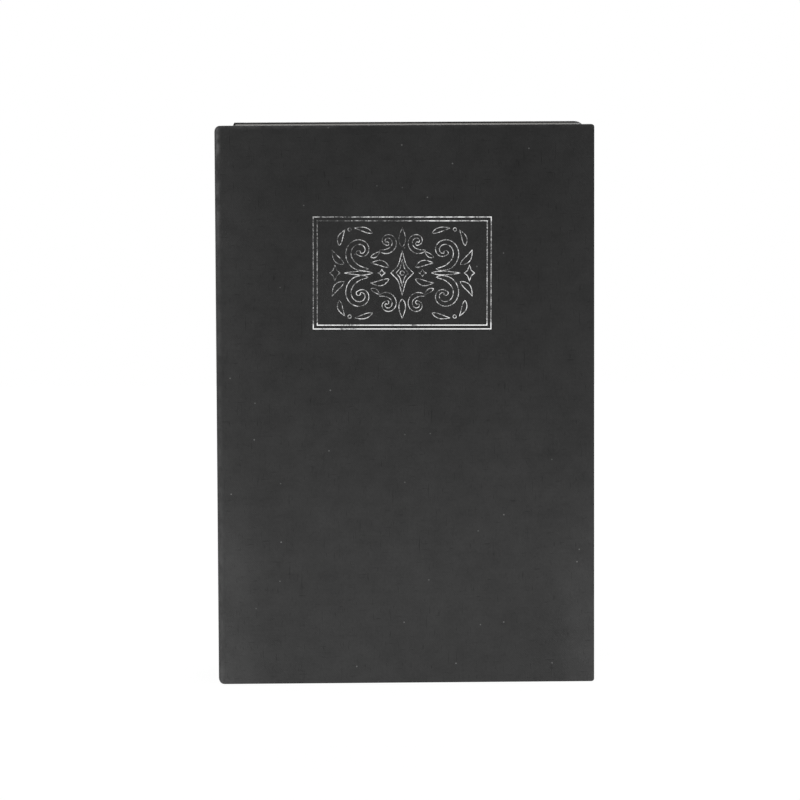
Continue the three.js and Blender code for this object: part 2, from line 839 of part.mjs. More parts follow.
// Cam at rest: it points to the tail, clear of the wall it locks behind.
function cam() {
  const tipRadius = camWidth / 2;
  const tipY = tipRadius - camReach;
  const shape = new THREE.Shape()
    .moveTo(tipRadius, 0)
    .lineTo(tipRadius, camHubRadius / 2)
    .absarc(0, 0, camHubRadius, Math.atan2(camHubRadius / 2, tipRadius), Math.PI, false)
    .lineTo(-tipRadius, tipY)
    .absarc(0, tipY, tipRadius, Math.PI, 2 * Math.PI, false)
    .closePath();
  const plate = new THREE.ExtrudeGeometry(shape, {
    depth: camThickness,
    bevelEnabled: false,
    curveSegments: roundSegments / 4,
  }).translate(lockX, lockY, camBottom);
  const hole = squareAtLock(tangWidth + 2 * tangClearance, camBottom - overrun, camTop + overrun);
  return solidOf(plate).subtract(solidOf(hole));
}

function springWasher() {
  const [low, high] = [springWasherBottom, camBottom];
  const split = {
    left: lockX,
    right: lockX + springWasherRadius + overrun,
    low: lockY - springWasherSplit / 2,
    high: lockY + springWasherSplit / 2,
  };
  return solidOf(upright(springWasherRadius, springWasherRadius, low, high, lockX, lockY, screwSegments))
    .subtract(
      solidOf(
        upright(springWasherBore, springWasherBore, low - overrun, high + overrun, lockX, lockY, screwSegments),
      ),
    )
    .subtract(solidOf(block(split, low - overrun, high + overrun)));
}

function crossRecess(x, y, low, high) {
  const arm = (halfX, halfY) =>
    solidOf(block({ left: x - halfX, right: x + halfX, low: y - halfY, high: y + halfY }, low, high));
  const [long, short] = [recessLength / 2, recessWidth / 2];
  return arm(long, short).add(arm(short, long));
}

// A screw whose head is at the bottom: its shank points up to the front of the book.
function screwPointingUp(x, y, seat, head, shank, tip) {
  const headLow = seat - head.height;
  const body = turned(
    [
      [0, headLow],
      [head.radius * head.crownShare, headLow],
      [head.radius, headLow + head.height / 2],
      [head.radius, seat],
      [shank.radius, seat],
      [shank.radius, seat + shank.length - tip],
      [0, seat + shank.length],
    ],
    x,
    y,
    screwSegments,
  );
  return solidOf(body).subtract(crossRecess(x, y, headLow - overrun, headLow + recessDepth));
}

function hexNut() {
  const high = lidUnder - washerThickness;
  const low = high - nutHeight;
  const corner = nutAcrossFlats / 2 / Math.cos(Math.PI / 6);
  const inscribed = nutAcrossFlats / 2;
  const dome = turned(
    [
      [0, low],
      [inscribed, low],
      [inscribed + nutChamfer * 2, low + nutChamfer],
      [inscribed + nutChamfer * 2, high],
      [0, high],
    ],
    lockX,
    lockY,
  );
  const bore = barrelRadius + barrelClearance;
  return solidOf(upright(corner, corner, low, high, lockX, lockY, 6))
    .intersect(solidOf(dome))
    .subtract(solidOf(upright(bore, bore, low - overrun, high + overrun, lockX, lockY)));
}

function toothedWasher() {
  const high = lidUnder;
  const low = high - washerThickness;
  const bore = barrelRadius + barrelClearance;
  let made = solidOf(upright(washerRadius, washerRadius, low, high, lockX, lockY)).subtract(
    solidOf(upright(bore, bore, low - overrun, high + overrun, lockX, lockY)),
  );
  const tooth = new THREE.BoxGeometry(
    washerToothDepth * 2,
    washerToothWidth,
    washerThickness + 2 * overrun,
  ).translate(washerRadius, 0, (low + high) / 2);
  for (let i = 0; i < washerToothCount; i++) {
    const angle = (i * 2 * Math.PI) / washerToothCount;
    made = made.subtract(solidOf(tooth.clone().rotateZ(angle).translate(lockX, lockY, 0)));
  }
  return made;
}

// Assembly

function frontCover() {
  const group = new THREE.Group();
  group.add(
    named("front_board", coverBoard(bookThickness, -1), greyboard),
    named("front_cloth", coverWrap(bookThickness, -1), coverCloth),
    named("front_lining", coverLining(bookThickness, -1), liningPaper),
  );
  return group;
}

function caseAndFrame() {
  const group = new THREE.Group();
  const joint = loft(jointWrap(bookThickness - jointRadius, 1).rings);
  group.add(
    named("back_board", coverBoard(0, 1), greyboard),
    named("spine_board", spineBoard(), greyboard),
    named("case_cloth", caseWrap(), coverCloth),
    named("joint_cloth", solidOf(joint), coverCloth),
    named("back_lining", coverLining(0, 1), liningPaper),
    named("page_frame", pageFrame(), framePlastic),
    ...Object.entries(edgeBoxes).map(([name, box]) => named(name, pageEdge(box), framePlastic)),
  );
  return group;
}

function steelBox() {
  const group = new THREE.Group();
  group.add(
    named("box_tray", tray(), blackSteel),
    named("box_lid", lid(), blackSteel),
    named("hinge_pin", hingePin(), zinc),
  );
  const head = { radius: screwHeadRadius, height: screwHeadHeight, crownShare: 0.7 };
  const shank = { radius: screwRadius, length: screwLength };
  pillarPlaces.forEach(({ x, y }, i) => {
    const screw = screwPointingUp(x, y, earBottom, head, shank, screwRadius);
    group.add(named(`tray_screw_${i + 1}`, screw, zinc));
  });
  return group;
}

function camLock() {
  const group = new THREE.Group();
  const head = { radius: camScrewHeadRadius, height: camScrewHeadHeight, crownShare: 0.8 };
  const shank = { radius: camScrewRadius, length: camScrewLength };
  group.add(
    named("lock_barrel", lockBarrel(), nickel),
    named("lock_washer", toothedWasher(), zinc),
    named("lock_nut", hexNut(), nickel),
    named("lock_plug", lockPlug(), brass),
    named("stop_disc", stopDisc(), zinc),
    named("lock_cam", cam(), zinc),
    named("cam_washer", springWasher(), zinc),
    named(
      "cam_screw",
      screwPointingUp(lockX, lockY, springWasherBottom, head, shank, camScrewRadius / 4),
      zinc,
    ),
  );
  return group;
}

const lyingBook = new THREE.Group();
lyingBook.add(frontCover(), caseAndFrame(), steelBox(), camLock());
lyingBook.rotation.x = Math.PI / 2;
lyingBook.position.y = bookThickness / 2;

const bookSafe = new THREE.Group();
bookSafe.add(lyingBook);

export default bookSafe;
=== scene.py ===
"""The looks of a book diversion safe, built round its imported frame.

The book stands upright on its tail edges. Places are in metres in the frame's axes: x runs from
the spine to the fore edge, y from the front cover to the back cover, and z from tail to head.
"""

import functools
import logging
import math
import random
from contextlib import contextmanager
from dataclasses import dataclass
from enum import Enum
from typing import Any, Callable, Iterator, Sequence

import bmesh
import bpy
from mathutils import Matrix, Vector


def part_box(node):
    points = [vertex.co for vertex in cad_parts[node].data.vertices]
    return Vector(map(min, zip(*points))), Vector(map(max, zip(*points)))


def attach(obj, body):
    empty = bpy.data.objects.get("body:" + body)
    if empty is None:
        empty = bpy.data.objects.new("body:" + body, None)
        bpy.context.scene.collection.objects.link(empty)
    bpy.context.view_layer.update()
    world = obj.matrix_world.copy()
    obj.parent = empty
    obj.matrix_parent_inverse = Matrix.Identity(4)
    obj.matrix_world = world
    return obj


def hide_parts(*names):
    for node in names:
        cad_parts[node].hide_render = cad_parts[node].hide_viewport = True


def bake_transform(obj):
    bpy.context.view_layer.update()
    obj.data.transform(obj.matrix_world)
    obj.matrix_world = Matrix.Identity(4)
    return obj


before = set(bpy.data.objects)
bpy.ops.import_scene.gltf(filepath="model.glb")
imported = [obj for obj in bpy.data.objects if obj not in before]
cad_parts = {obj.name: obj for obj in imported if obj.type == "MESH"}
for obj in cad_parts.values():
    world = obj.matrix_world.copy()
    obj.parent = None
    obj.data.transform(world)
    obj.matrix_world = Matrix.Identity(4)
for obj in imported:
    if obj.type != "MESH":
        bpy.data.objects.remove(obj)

MM = 0.001

# Places closer than NEAR count as one, and a copied node's points are merged within MERGE_GAP
NEAR = 0.01 * MM
MERGE_GAP = NEAR / 4

HALF_WIDTH = 80 * MM
HALF_DEPTH = 28 * MM
BOOK_HEIGHT = 237.2 * MM
LOCK_CENTRE = (44 * MM, BOOK_HEIGHT / 2)
RING_DEPTH = 0.002 * MM
STAMP_CENTRE = (-1.22 * MM, 174.84 * MM)
LAID_MAP = "laid"

# A face looks along an axis when its normal's part on that axis is over this
FACING = 0.99
# Degrees: flatter edges are merged in a copied node, sharper ones are eased or stay sharp
FLAT_ANGLE = 1.0
EASED_ANGLE = 50.0
EASED_STEPS = 2
SMOOTH_ANGLE = 40.0

# The sockets of a Mix node that carry colours
MIX_FACTOR, MIX_FIRST, MIX_SECOND, MIX_RESULT = 0, 6, 7, 2

Pair = tuple[float, float]
Triple = tuple[float, float, float]
Colour = tuple[float, float, float, float]
Outline = list[Pair]
Test = Callable[[Any], bool]

log = logging.getLogger("book_safe")


class Body(Enum):
    """The parts of the safe that move as one."""

    CASE = "case"
    COVER = "cover"
    LID = "lid"
    CORE = "lock_core"


class Slot(Enum):
    """The record's material slots."""

    CLOTH = "cover_cloth"
    BOARD = "greyboard"
    LINING = "lining_paper"
    PAGES = "page_plastic"
    STEEL = "black_steel"
    ZINC = "zinc_steel"
    NICKEL = "nickel_plate"
    BRASS = "lock_brass"


class Pick(Enum):
    """What a selection in edit mode takes."""

    VERTS = "VERT"
    EDGES = "EDGE"
    FACES = "FACE"


class Signal:
    """The output of a shader node, which can be written into a sum."""

    def __init__(self, graph: "Graph", socket: bpy.types.NodeSocket) -> None:
        """Wraps one output socket of a node in a graph."""
        self.graph = graph
        self.socket = socket

    def maths(self, operation: str, *values: Any, clamp: bool = False) -> "Signal":
        """Adds a Math node on numbers or signals; clamp keeps its result from 0 to 1."""
        settings = {"operation": operation, "use_clamp": clamp}
        return self.graph.node("ShaderNodeMath", settings, dict(enumerate(values)))

    def __add__(self, other: Any) -> "Signal":
        """This plus another value."""
        return self.maths("ADD", self, other)

    def __sub__(self, other: Any) -> "Signal":
        """This less another value."""
        return self.maths("SUBTRACT", self, other)

    def __rsub__(self, other: Any) -> "Signal":
        """Another value less this."""
        return self.maths("SUBTRACT", other, self)

    def __mul__(self, other: Any) -> "Signal":
        """This times another value."""
        return self.maths("MULTIPLY", self, other)

    def __truediv__(self, other: Any) -> "Signal":
        """This over another value."""
        return self.maths("DIVIDE", self, other)

    def __abs__(self) -> "Signal":
        """This without its sign."""
        return self.maths("ABSOLUTE", self)

    __radd__ = __add__
    __rmul__ = __mul__

    def sine(self) -> "Signal":
        """The sine of this, in radians."""
        return self.maths("SINE", self)

    def root(self) -> "Signal":
        """The square root of this."""
        return self.maths("SQRT", self)

    def over(self, limit: float) -> "Signal":
        """1 where this is over a limit, else 0."""
        return self.maths("GREATER_THAN", self, limit)

    def greatest(self, other: Any) -> "Signal":
        """The greater of this and another value."""
        return self.maths("MAXIMUM", self, other)

    def clamped(self) -> "Signal":
        """This kept from 0 to 1."""
        return self.maths("ADD", self, 0.0, clamp=True)

    def rise(self, low: float, high: float) -> "Signal":
        """A soft step from 0 at one value of this to 1 at another."""
        inputs = {"Value": self, "From Min": low, "From Max": high}
        return self.graph.node("ShaderNodeMapRange", {"interpolation_type": "SMOOTHSTEP"}, inputs)

    def output(self, name: str) -> "Signal":
        """Another output of the same node."""
        return Signal(self.graph, self.socket.node.outputs[name])


class Graph:
    """The nodes of one material or world."""

    def __init__(self, owner: Any) -> None:
        """Empties the owner's node tree.

        Args:
            owner: a material or a world.
        """
        owner.use_nodes = True
        self.tree = owner.node_tree
        self.tree.nodes.clear()

    def node(
        self,
        kind: str,
        settings: dict[str, Any] | None = None,
        inputs: dict[Any, Any] | None = None,
        output: Any = 0,
    ) -> Signal:
        """Adds one node.

        Args:
            kind: the node's type.
            settings: its own settings, which are set first.
            inputs: values or signals by the name or number of their socket.
            output: the name or number of the output that is handed back.

        Returns:
            That output.
        """
        made = self.tree.nodes.new(kind)
        for name, value in (settings or {}).items():
            setattr(made, name, value)
        for key, value in (inputs or {}).items():
            if isinstance(value, Signal):
                self.tree.links.new(value.socket, made.inputs[key])
            else:
                made.inputs[key].default_value = value
        return Signal(self, made.outputs[output])

    def seen(self) -> Signal:
        """1 for what shows itself, in gloss too, and 0 for what only sends soft light."""
        ray = self.node("ShaderNodeLightPath", output="Is Camera Ray")
        return (ray + ray.output("Is Glossy Ray") + ray.output("Is Transmission Ray")).clamped()

    def place(self) -> Signal:
        """The point on the piece, in metres."""
        return self.node("ShaderNodeTexCoord", output="Object")

    def laid(self) -> Signal:
        """The point on the cloth as it lay flat, in metres."""
        return self.node("ShaderNodeUVMap", {"uv_map": LAID_MAP})

    def axes(self, vector: Signal) -> tuple[Signal, Signal, Signal]:
        """The three parts of a vector."""
        x = self.node("ShaderNodeSeparateXYZ", inputs={"Vector": vector})
        return x, x.output("Y"), x.output("Z")

    def scaled(self, vector: Signal, factors: Sequence[float]) -> Signal:
        """A vector times a factor along each axis."""
        settings = {"operation": "MULTIPLY"}
        return self.node("ShaderNodeVectorMath", settings, {0: vector, 1: factors})

    def noise(
        self, vector: Signal, scale: float, detail: float = 2.0, rough: float = 0.5
    ) -> Signal:
        """Soft noise from 0 to 1, with so many grains to a metre and some finer layers."""
        inputs = {"Vector": vector, "Scale": scale, "Detail": detail, "Roughness": rough}
        return self.node("ShaderNodeTexNoise", inputs=inputs)

    def streaks(
        self, vector: Signal, scales: Triple, detail: float = 2.0, rough: float = 0.5
    ) -> Signal:
        """Soft noise that has its own number of grains to a metre along each axis."""
        return self.noise(self.scaled(vector, scales), 1.0, detail, rough)

    def mix(self, factor: Any, first: Any, second: Any, blend: str = "MIX") -> Signal:
        """A colour between two others, or one blended over another.

        Args:
            factor: how much the second one counts.
            first: the colour underneath.
            second: the colour over it.
            blend: Blender's name for how they are blended.

        Returns:
            The colour.
        """
        settings = {"data_type": "RGBA", "blend_type": blend}
        inputs = {MIX_FACTOR: factor, MIX_FIRST: first, MIX_SECOND: second}
        return self.node("ShaderNodeMix", settings, inputs, MIX_RESULT)

    def toned(self, colour: Any, level: Signal) -> Signal:
        """A colour made lighter or darker by a level round 1."""
        return self.mix(1.0, colour, level, "MULTIPLY")

    def bump(self, height: Signal, depth: float, under: Signal | None = None) -> Signal:
        """A surface that stands up by a depth where the height is 1.

        Args:
            height: from 0 to 1.
            depth: in metres.
            under: the normal that this one is laid over.

        Returns:
            The normal.
        """
        inputs = {"Height": height, "Distance": depth, "Strength": 1.0}
        if under is not None:
            inputs["Normal"] = under
        return self.node("ShaderNodeBump", inputs=inputs)

    def surface(
        self, base: Signal, rough: Signal, normal: Signal, metal: Any = 0.0, gloss: float = 0.5
    ) -> None:
        """Ends the graph in a Principled shader.

        Args:
            base: the colour.
            rough: the roughness.
            normal: the normal.
            metal: 1 where the surface is metal, else 0.
            gloss: how strongly a surface that is no metal mirrors.
        """
        inputs = {"Base Color": base, "Roughness": rough, "Normal": normal}
        inputs.update({"Metallic": metal, "Specular IOR Level": gloss})
        shader = self.node("ShaderNodeBsdfPrincipled", inputs=inputs)
        self.node_end("ShaderNodeOutputMaterial", shader)

    def node_end(self, kind: str, shader: Signal) -> None:
        """Joins a shader to the output node."""
        end = self.tree.nodes.new(kind)
        self.tree.links.new(shader.socket, end.inputs["Surface"])


def grey(level: float) -> Colour:
    """A neutral colour."""
    return (level, level, level, 1.0)


@dataclass(frozen=True)
class Finish:
    """One surface finish."""

    name: str

    def paint(self, graph: Graph) -> None:
        """Adds the finish's nodes to a graph."""
        raise NotImplementedError


@functools.cache
def material_of(finish: Finish) -> bpy.types.Material:
    """The material of a finish, made the first time that it is asked for.

    Args:
        finish: what the material is painted with.

    Returns:
        The material.
    """
    material = bpy.data.materials.new(finish.name)
    finish.paint(Graph(material))
    return material


@dataclass(frozen=True)
class BookCloth(Finish):
    """Linen-grained book cloth: thick and thin threads, slubs, specks of lint, rubbed edges with a
    painted highlight, and painted light.
    """

    tone: float = 0.03
    roughness: float = 0.62
    gloss: float = 0.1
    thread: float = 0.5 * MM
    sway: float = 3.0
    thread_depth: float = 0.014 * MM
    slub_depth: float = 0.05 * MM
    slub_shade: float = 0.32
    # Rubbed edges, which carry a painted highlight along the joint and at the head and tail rims:
    # how strongly they lighten the cloth
    rub_and_highlight_gain: float = 2.2
    # Painted light: how strongly it lightens the cloth, and its shares near the side edges, along
    # the tail and beside the spine
    painted_light_gain: float = 0.5
    painted_light_shares: Triple = (0.82, 0.26, 0.22)
    rub_and_highlight_widths: Triple = (3.0 * MM, 1.8 * MM, 2.0 * MM)
    rim_width: float = 0.7 * MM
    # Painted light: how far the lighter bands reach from the side edges and up from the tail
    painted_side_light_width: float = 24 * MM
    painted_tail_light_height: float = 22 * MM
    lint_tone: float = 0.13
    lint_per_metre: float = 95.0
    lint_sizes: Pair = (0.014, 0.04)
    bare_share: float = 0.87
    half_size: Triple = (HALF_WIDTH, HALF_DEPTH, BOOK_HEIGHT / 2)

    def paint(self, graph: Graph) -> None:
        """Adds the cloth's nodes.

        Args:
            graph: the material's graph.
        """
        laid = graph.laid()
        across, along, _ = graph.axes(laid)
        sway = graph.noise(laid, scale=180.0) * self.sway
        turn = math.pi / self.thread
        weave = (across * turn + sway).sine() * (along * turn + sway).sine()
        slubs = self.strokes(graph, laid)
        cloud = graph.noise(laid, scale=34.0, detail=4.0, rough=0.62)
        mottle = graph.noise(laid, scale=120.0, detail=3.0, rough=0.6)
        streak = graph.streaks(laid, scales=(12, 420, 1), detail=3.0, rough=0.6)
        fine = graph.noise(laid, scale=900.0)
        tone = 0.41 + cloud * 0.6 + mottle * 0.44 + streak * 0.12
        tone = tone - slubs * self.slub_shade + (fine - 0.5) * 0.28
        # Rubbed edges with their painted highlight, and painted light, lighten the cloth
        rub_and_highlight, painted_light = self.rub_and_painted_light(graph)
        tone = tone * (1 + rub_and_highlight * self.rub_and_highlight_gain + painted_light * self.painted_light_gain)
        base = graph.toned(grey(self.tone), tone)
        base = graph.mix(self.lint(graph, laid), base, grey(self.lint_tone))
        normal = graph.bump(weave * 0.5 + 0.5, self.thread_depth)
        normal = graph.bump(1 - slubs, self.slub_depth, normal)
        rough = self.roughness + (cloud - 0.5) * 0.16 - rub_and_highlight * 0.08
        graph.surface(base, rough, normal, gloss=self.gloss)

    def strokes(self, graph: Graph, laid: Signal) -> Signal:
        """Thin places between the threads: short ones both ways and a few long upright ones.

        Args:
            graph: the material's graph.
            laid: the point on the flat cloth.

        Returns:
            1 in a thin place, else 0.
        """
        upright = graph.streaks(laid, scales=(1200, 210, 1), detail=3.0).rise(0.6, 0.78)
        level = graph.streaks(laid, scales=(190, 1100, 1), detail=3.0).rise(0.6, 0.78)
        long = graph.streaks(laid, scales=(1500, 55, 1), detail=1.0).rise(0.7, 0.8)
        return upright.greatest(level * 0.85).greatest(long)

    def rub_and_painted_light(self, graph: Graph) -> tuple[Signal, Signal]:
        """How much the cloth is rubbed where two faces meet, with a painted highlight along the
        joint and the rims, and how much painted light lightens it.

        Args:
            graph: the material's graph.

        Returns:
            The rubbing with its painted highlight, and the painted light, each from 0.
        """
        place = graph.place()
        x, y, z = graph.axes(place)
        half_x, half_y, half_z = self.half_size

        # The joint and the corners are rubbed most, and the head and tail edges a little; at the
        # joint, more towards the head, and at the head and tail rims the lightening is also a
        # painted highlight
        gap_x, gap_y, gap_z = half_x - abs(x), half_y - abs(y), half_z - abs(z - half_z)
        gaps = zip((gap_x, gap_y, gap_z), self.rub_and_highlight_widths)
        near_x, near_y, near_z = (1 - gap.rise(0.0, width) for gap, width in gaps)
        rim = 1 - gap_z.rise(0.0, self.rim_width)
        at_spine = (0 - x).rise(0.0, half_x)
        at_head = z.rise(1.5 * half_z, 2 * half_z)
        edge = (near_x * near_y * at_spine).greatest(near_x * near_y * near_z)
        edge = edge.greatest(near_y * near_z * 0.2).greatest(rim * 0.25)
        patchy = graph.noise(place, scale=210.0, detail=3.0).rise(0.3, 0.65)
        rub_and_highlight = edge * patchy * (0.5 + at_spine) * (0.4 + at_head * 1.6)

        # Painted light: the cloth is made lighter in blotches near the side edges and along the
        # tail, and over the upper part beside the spine
        low = 1 - z.rise(0.0, 0.95 * half_z)
        blotch = graph.noise(place, scale=95.0, detail=3.0).rise(-0.45, 0.9)
        painted_side_light = (1 - gap_x.rise(0.0, self.painted_side_light_width)) * blotch * (0.25 + at_spine * 0.4 + low)
        painted_tail_light = (1 - z.rise(0.0, self.painted_tail_light_height)) * blotch
        painted_spine_light = at_spine * z.rise(0.7 * half_z, 1.4 * half_z)
        side_share, tail_share, spine_share = self.painted_light_shares
        return rub_and_highlight, painted_side_light * side_share + painted_tail_light * tail_share + painted_spine_light * spine_share

    def lint(self, graph: Graph, laid: Signal) -> Signal:
        """Single pale specks, far apart.

        Args:
            graph: the material's graph.
            laid: the point on the flat cloth.

        Returns:
            How much of a speck shows, from 0.
        """
        settings = {"voronoi_dimensions": "2D"}
        inputs = {"Vector": laid, "Scale": self.lint_per_metre}
        cells = graph.node("ShaderNodeTexVoronoi", settings, inputs, "Distance")
        chance, share, _ = graph.axes(cells.output("Color"))
        speck = 1 - cells.rise(*self.lint_sizes)
        return speck * chance.over(self.bare_share) * (0.4 + share)


@dataclass(frozen=True)
class Paper(Finish):
    """Uncoated lining paper or bare board: flecks, fibres and a soft tone."""

    colour: Colour
    fleck: float = 0.1
    grain_depth: float = 0.01 * MM
    roughness: float = 0.82
    gloss: float = 0.3

    def paint(self, graph: Graph) -> None:
        """Adds the paper's nodes.

        Args:
            graph: the material's graph.
        """
        place = graph.place()
        cloud = graph.noise(place, scale=28.0, detail=3.0)
        fibres = graph.noise(graph.scaled(place, (1, 1, 0.3)), scale=1900.0, detail=4.0, rough=0.7)
        flecks = graph.noise(place, scale=2600.0, detail=1.0).rise(0.66, 0.74)
        tone = 0.93 + cloud * 0.1 + (fibres - 0.5) * 0.18 - flecks * self.fleck
        base = graph.toned(self.colour, tone)
        normal = graph.bump(fibres, self.grain_depth)
        rough = self.roughness + fibres * 0.12
        graph.surface(base, rough, normal, gloss=self.gloss)


@dataclass(frozen=True)
class LeafPlastic(Finish):
    """Cream moulding that imitates leaves: fine lines along the edges, with shade painted darker in
    the grooves.
    """

    cream: Colour = (0.66, 0.585, 0.45, 1.0)
    # The colour of the painted shade in the grooves
    shade: Colour = (0.4, 0.33, 0.23, 1.0)
    leaves_per_metre: float = 3200.0
    line_depth: float = 0.06 * MM
    roughness: float = 0.56
    gloss: float = 0.4

    def paint(self, graph: Graph) -> None:
        """Adds the moulding's nodes.

        Args:
            graph: the material's graph.
        """
        place = graph.place()
        lines = graph.streaks(place, scales=(9, self.leaves_per_metre, 9))
        bundles = graph.streaks(place, scales=(5, 520, 5))
        speckle = graph.noise(place, scale=700.0, detail=3.0, rough=0.6)
        # Painted shade: the grooves between the leaves, and the deeper ones between bundles, are
        # coloured darker
        painted_groove_shade = lines.rise(0.5, 0.78) * 0.55 + bundles.rise(0.5, 0.8) * 0.35
        base = graph.mix(painted_groove_shade.clamped(), self.cream, self.shade)
        base = graph.toned(base, 0.94 + speckle * 0.12)
        normal = graph.bump(1 - lines, self.line_depth)
        rough = self.roughness + speckle * 0.16
        graph.surface(base, rough, normal, gloss=self.gloss)


@dataclass(frozen=True)
class PowderCoat(Finish):
    """Baked black powder paint with a fine pebbled skin and a few rubs."""

    tone: float = 0.012
    pebble: float = 1500.0
    pebble_depth: float = 0.03 * MM
    roughness: float = 0.42
    gloss: float = 0.35

    def paint(self, graph: Graph) -> None:
        """Adds the paint's nodes.

        Args:
            graph: the material's graph.
        """
        place = graph.place()
        skin = graph.noise(place, self.pebble, 2.0)
        cloud = graph.noise(place, scale=45.0, detail=3.0)
        rubs = graph.streaks(place, scales=(40, 40, 700), detail=3.0).rise(0.66, 0.8)
        base = graph.toned(grey(self.tone), 0.85 + cloud * 0.35 + rubs * 0.6)
        normal = graph.bump(skin, self.pebble_depth)
        rough = self.roughness + (skin - 0.5) * 0.2 + cloud * 0.08 - rubs * 0.06
        graph.surface(base, rough, normal, gloss=self.gloss)


@dataclass(frozen=True)
class Plating(Finish):
    """Plated metal with soft blotches, fine scratches and, round the lock, rings from the lathe."""

    colour: Colour
    roughness: float
    ring_depth: float = 0.0
    ring_pitch: float = 0.32 * MM
    scratch_depth: float = 0.004 * MM
    axis: Pair = LOCK_CENTRE

    def paint(self, graph: Graph) -> None:
        """Adds the metal's nodes.

        Args:
            graph: the material's graph.
        """
        place = graph.place()
        x, _, z = graph.axes(place)
        blotch = graph.noise(place, scale=260.0, detail=4.0, rough=0.6)
        scratch = graph.streaks(place, scales=(2600, 2600, 160))
        base = graph.toned(self.colour, 0.82 + blotch * 0.3)
        normal = graph.bump(scratch, self.scratch_depth)
        if self.ring_depth > 0.0:
            out, up = x - self.axis[0], z - self.axis[1]
            rings = ((out * out + up * up).root() * (math.tau / self.ring_pitch)).sine()
            normal = graph.bump(rings * 0.5 + 0.5, self.ring_depth, normal)
        rough = self.roughness * (0.75 + blotch * 0.5) + scratch * 0.06
        graph.surface(base, rough, normal, metal=1.0)


@dataclass(frozen=True)
class SilverFoil(Finish):
    """Hot-stamped silver foil, thin in uneven patches and broken over the threads, with a painted
    highlight that is brightest on the lower rules.
    """

    silver: float = 0.97
    cloth: float = 0.03
    bare_roughness: float = 0.62
    foil_roughness: float = 0.34
    pressure: float = 0.39
    grain_depth: float = 0.03 * MM
    centre: Pair = STAMP_CENTRE
    half: Pair = (37.4 * MM, 23.6 * MM)

    def paint(self, graph: Graph) -> None:
        """Adds the foil's nodes.

        Args:
            graph: the material's graph.
        """
        place = graph.place()
        x, _, z = graph.axes(place)

        # These run from -1 at the left and upper rules to 1 at the right and lower ones
        right = (x - self.centre[0]) / self.half[0]
        low = (self.centre[1] - z) / self.half[1]
        grain = graph.noise(place, scale=1500.0, detail=3.0, rough=0.65)
        patch = graph.noise(place, scale=130.0, detail=3.0)
        spots = graph.noise(place, scale=560.0)

        # Painted highlight: the foil is made fuller and brighter on the lower rules and towards the
        # right and the bottom, and thinner and dimmer on the sides and at the upper left
        tail_rules, head_rules = low.rise(0.86, 0.96), (0 - low).rise(0.86, 0.96)
        side_rules = abs(right).rise(0.9, 0.96) * (1 - tail_rules)
        uneven = (patch - 0.5) * 0.9 + (spots - 0.5) * 1.5
        press_and_highlight = self.pressure + right * 0.13 + low * 0.11 + uneven * (1 - side_rules * 0.6)
        press_and_highlight = press_and_highlight + tail_rules * (0.42 + right * 0.03)
        at_left = 1 - right.rise(-0.3, 0.3)
        within = 1 - abs(low).rise(0.95, 0.985)
        press_and_highlight = press_and_highlight + head_rules * (0.26 - at_left * (0.12 + within * 0.3))
        left_side = at_left * (low * 0.1 - 0.06)
        press_and_highlight = press_and_highlight - side_rules * (0.15 + right * 0.04 + low * 0.06 + left_side)
        fade = 1 - graph.noise(place, scale=38.0, detail=1.0).rise(0.34, 0.5)
        press_and_highlight = press_and_highlight - fade * (0.12 + tail_rules * 0.3)
        # Painted highlight: the foil's cover, which sets its colour and metal, carries this
        # brightening by position as well as the real breaks over the threads
        cover = (press_and_highlight + (grain - 0.5) * 1.5).rise(0.0, 0.85)
        base = graph.mix(cover, grey(self.cloth), grey(self.silver))
        normal = graph.bump(grain, self.grain_depth)
        rough = self.bare_roughness - cover * (self.bare_roughness - self.foil_roughness)
        graph.surface(base, rough, normal, metal=cover)


@dataclass(frozen=True)
class StudioFloor(Finish):
    """A white floor that the camera sees as white paper, with the shadow kept faint."""

    white: float = 0.8
    glow: float = 0.9
    strength: float = 1.06

    def paint(self, graph: Graph) -> None:
        """Adds the floor's nodes.

        Args:
            graph: the material's graph.
        """
        seen = graph.seen()
        matt = graph.node("ShaderNodeBsdfDiffuse", inputs={"Color": grey(self.white)})
        inputs = {"Color": grey(1.0), "Strength": self.strength}
        light = graph.node("ShaderNodeEmission", inputs=inputs)
        both = graph.node("ShaderNodeMixShader", inputs={0: seen * self.glow, 1: matt, 2: light})
        graph.node_end("ShaderNodeOutputMaterial", both)


CLOTH = BookCloth("charcoal_book_cloth")
GREYBOARD = Paper("greyboard", (0.29, 0.255, 0.205, 1.0), fleck=0.3)
LINING = Paper("lining_paper", (0.43, 0.44, 0.455, 1.0))
PAGES = LeafPlastic("cream_pages")
BLACK_STEEL = PowderCoat("black_powder_coat")
ZINC = Plating("bright_zinc", (0.56, 0.57, 0.58, 1.0), 0.34)
NICKEL = Plating("polished_nickel", (0.7, 0.68, 0.64, 1.0), 0.16, RING_DEPTH)
BRASS = Plating("flashed_brass", (0.72, 0.66, 0.5, 1.0), 0.24, RING_DEPTH)
FOIL = SilverFoil("silver_foil")
FLOOR = StudioFloor("studio_floor")


def clear_selection() -> None:
    """Leaves nothing selected, so that an operator acts on one piece only."""
    if bpy.context.object is not None and bpy.context.object.mode != "OBJECT":
        bpy.ops.object.mode_set(mode="OBJECT")
    bpy.ops.object.select_all(action="DESELECT")


def everything(item: Any) -> bool:
    """A test that every vertex, edge and face passes."""
    return True


def take_up(obj: bpy.types.Object, *others: bpy.types.Object) -> None:
    """Selects objects and nothing else.

    Args:
        obj: the object that becomes the active one.
        others: what is selected beside it.
    """
    clear_selection()
    for item in (*others, obj):
        item.select_set(True)
    bpy.context.view_layer.objects.active = obj


def placed(name: str, data: Any) -> bpy.types.Object:
    """Adds an object to the scene.

    Args:
        name: the object's name.
        data: its mesh, curve, light or camera.

    Returns:
        The object.
    """
    obj = bpy.data.objects.new(name, data)
    bpy.context.scene.collection.objects.link(obj)
    return obj


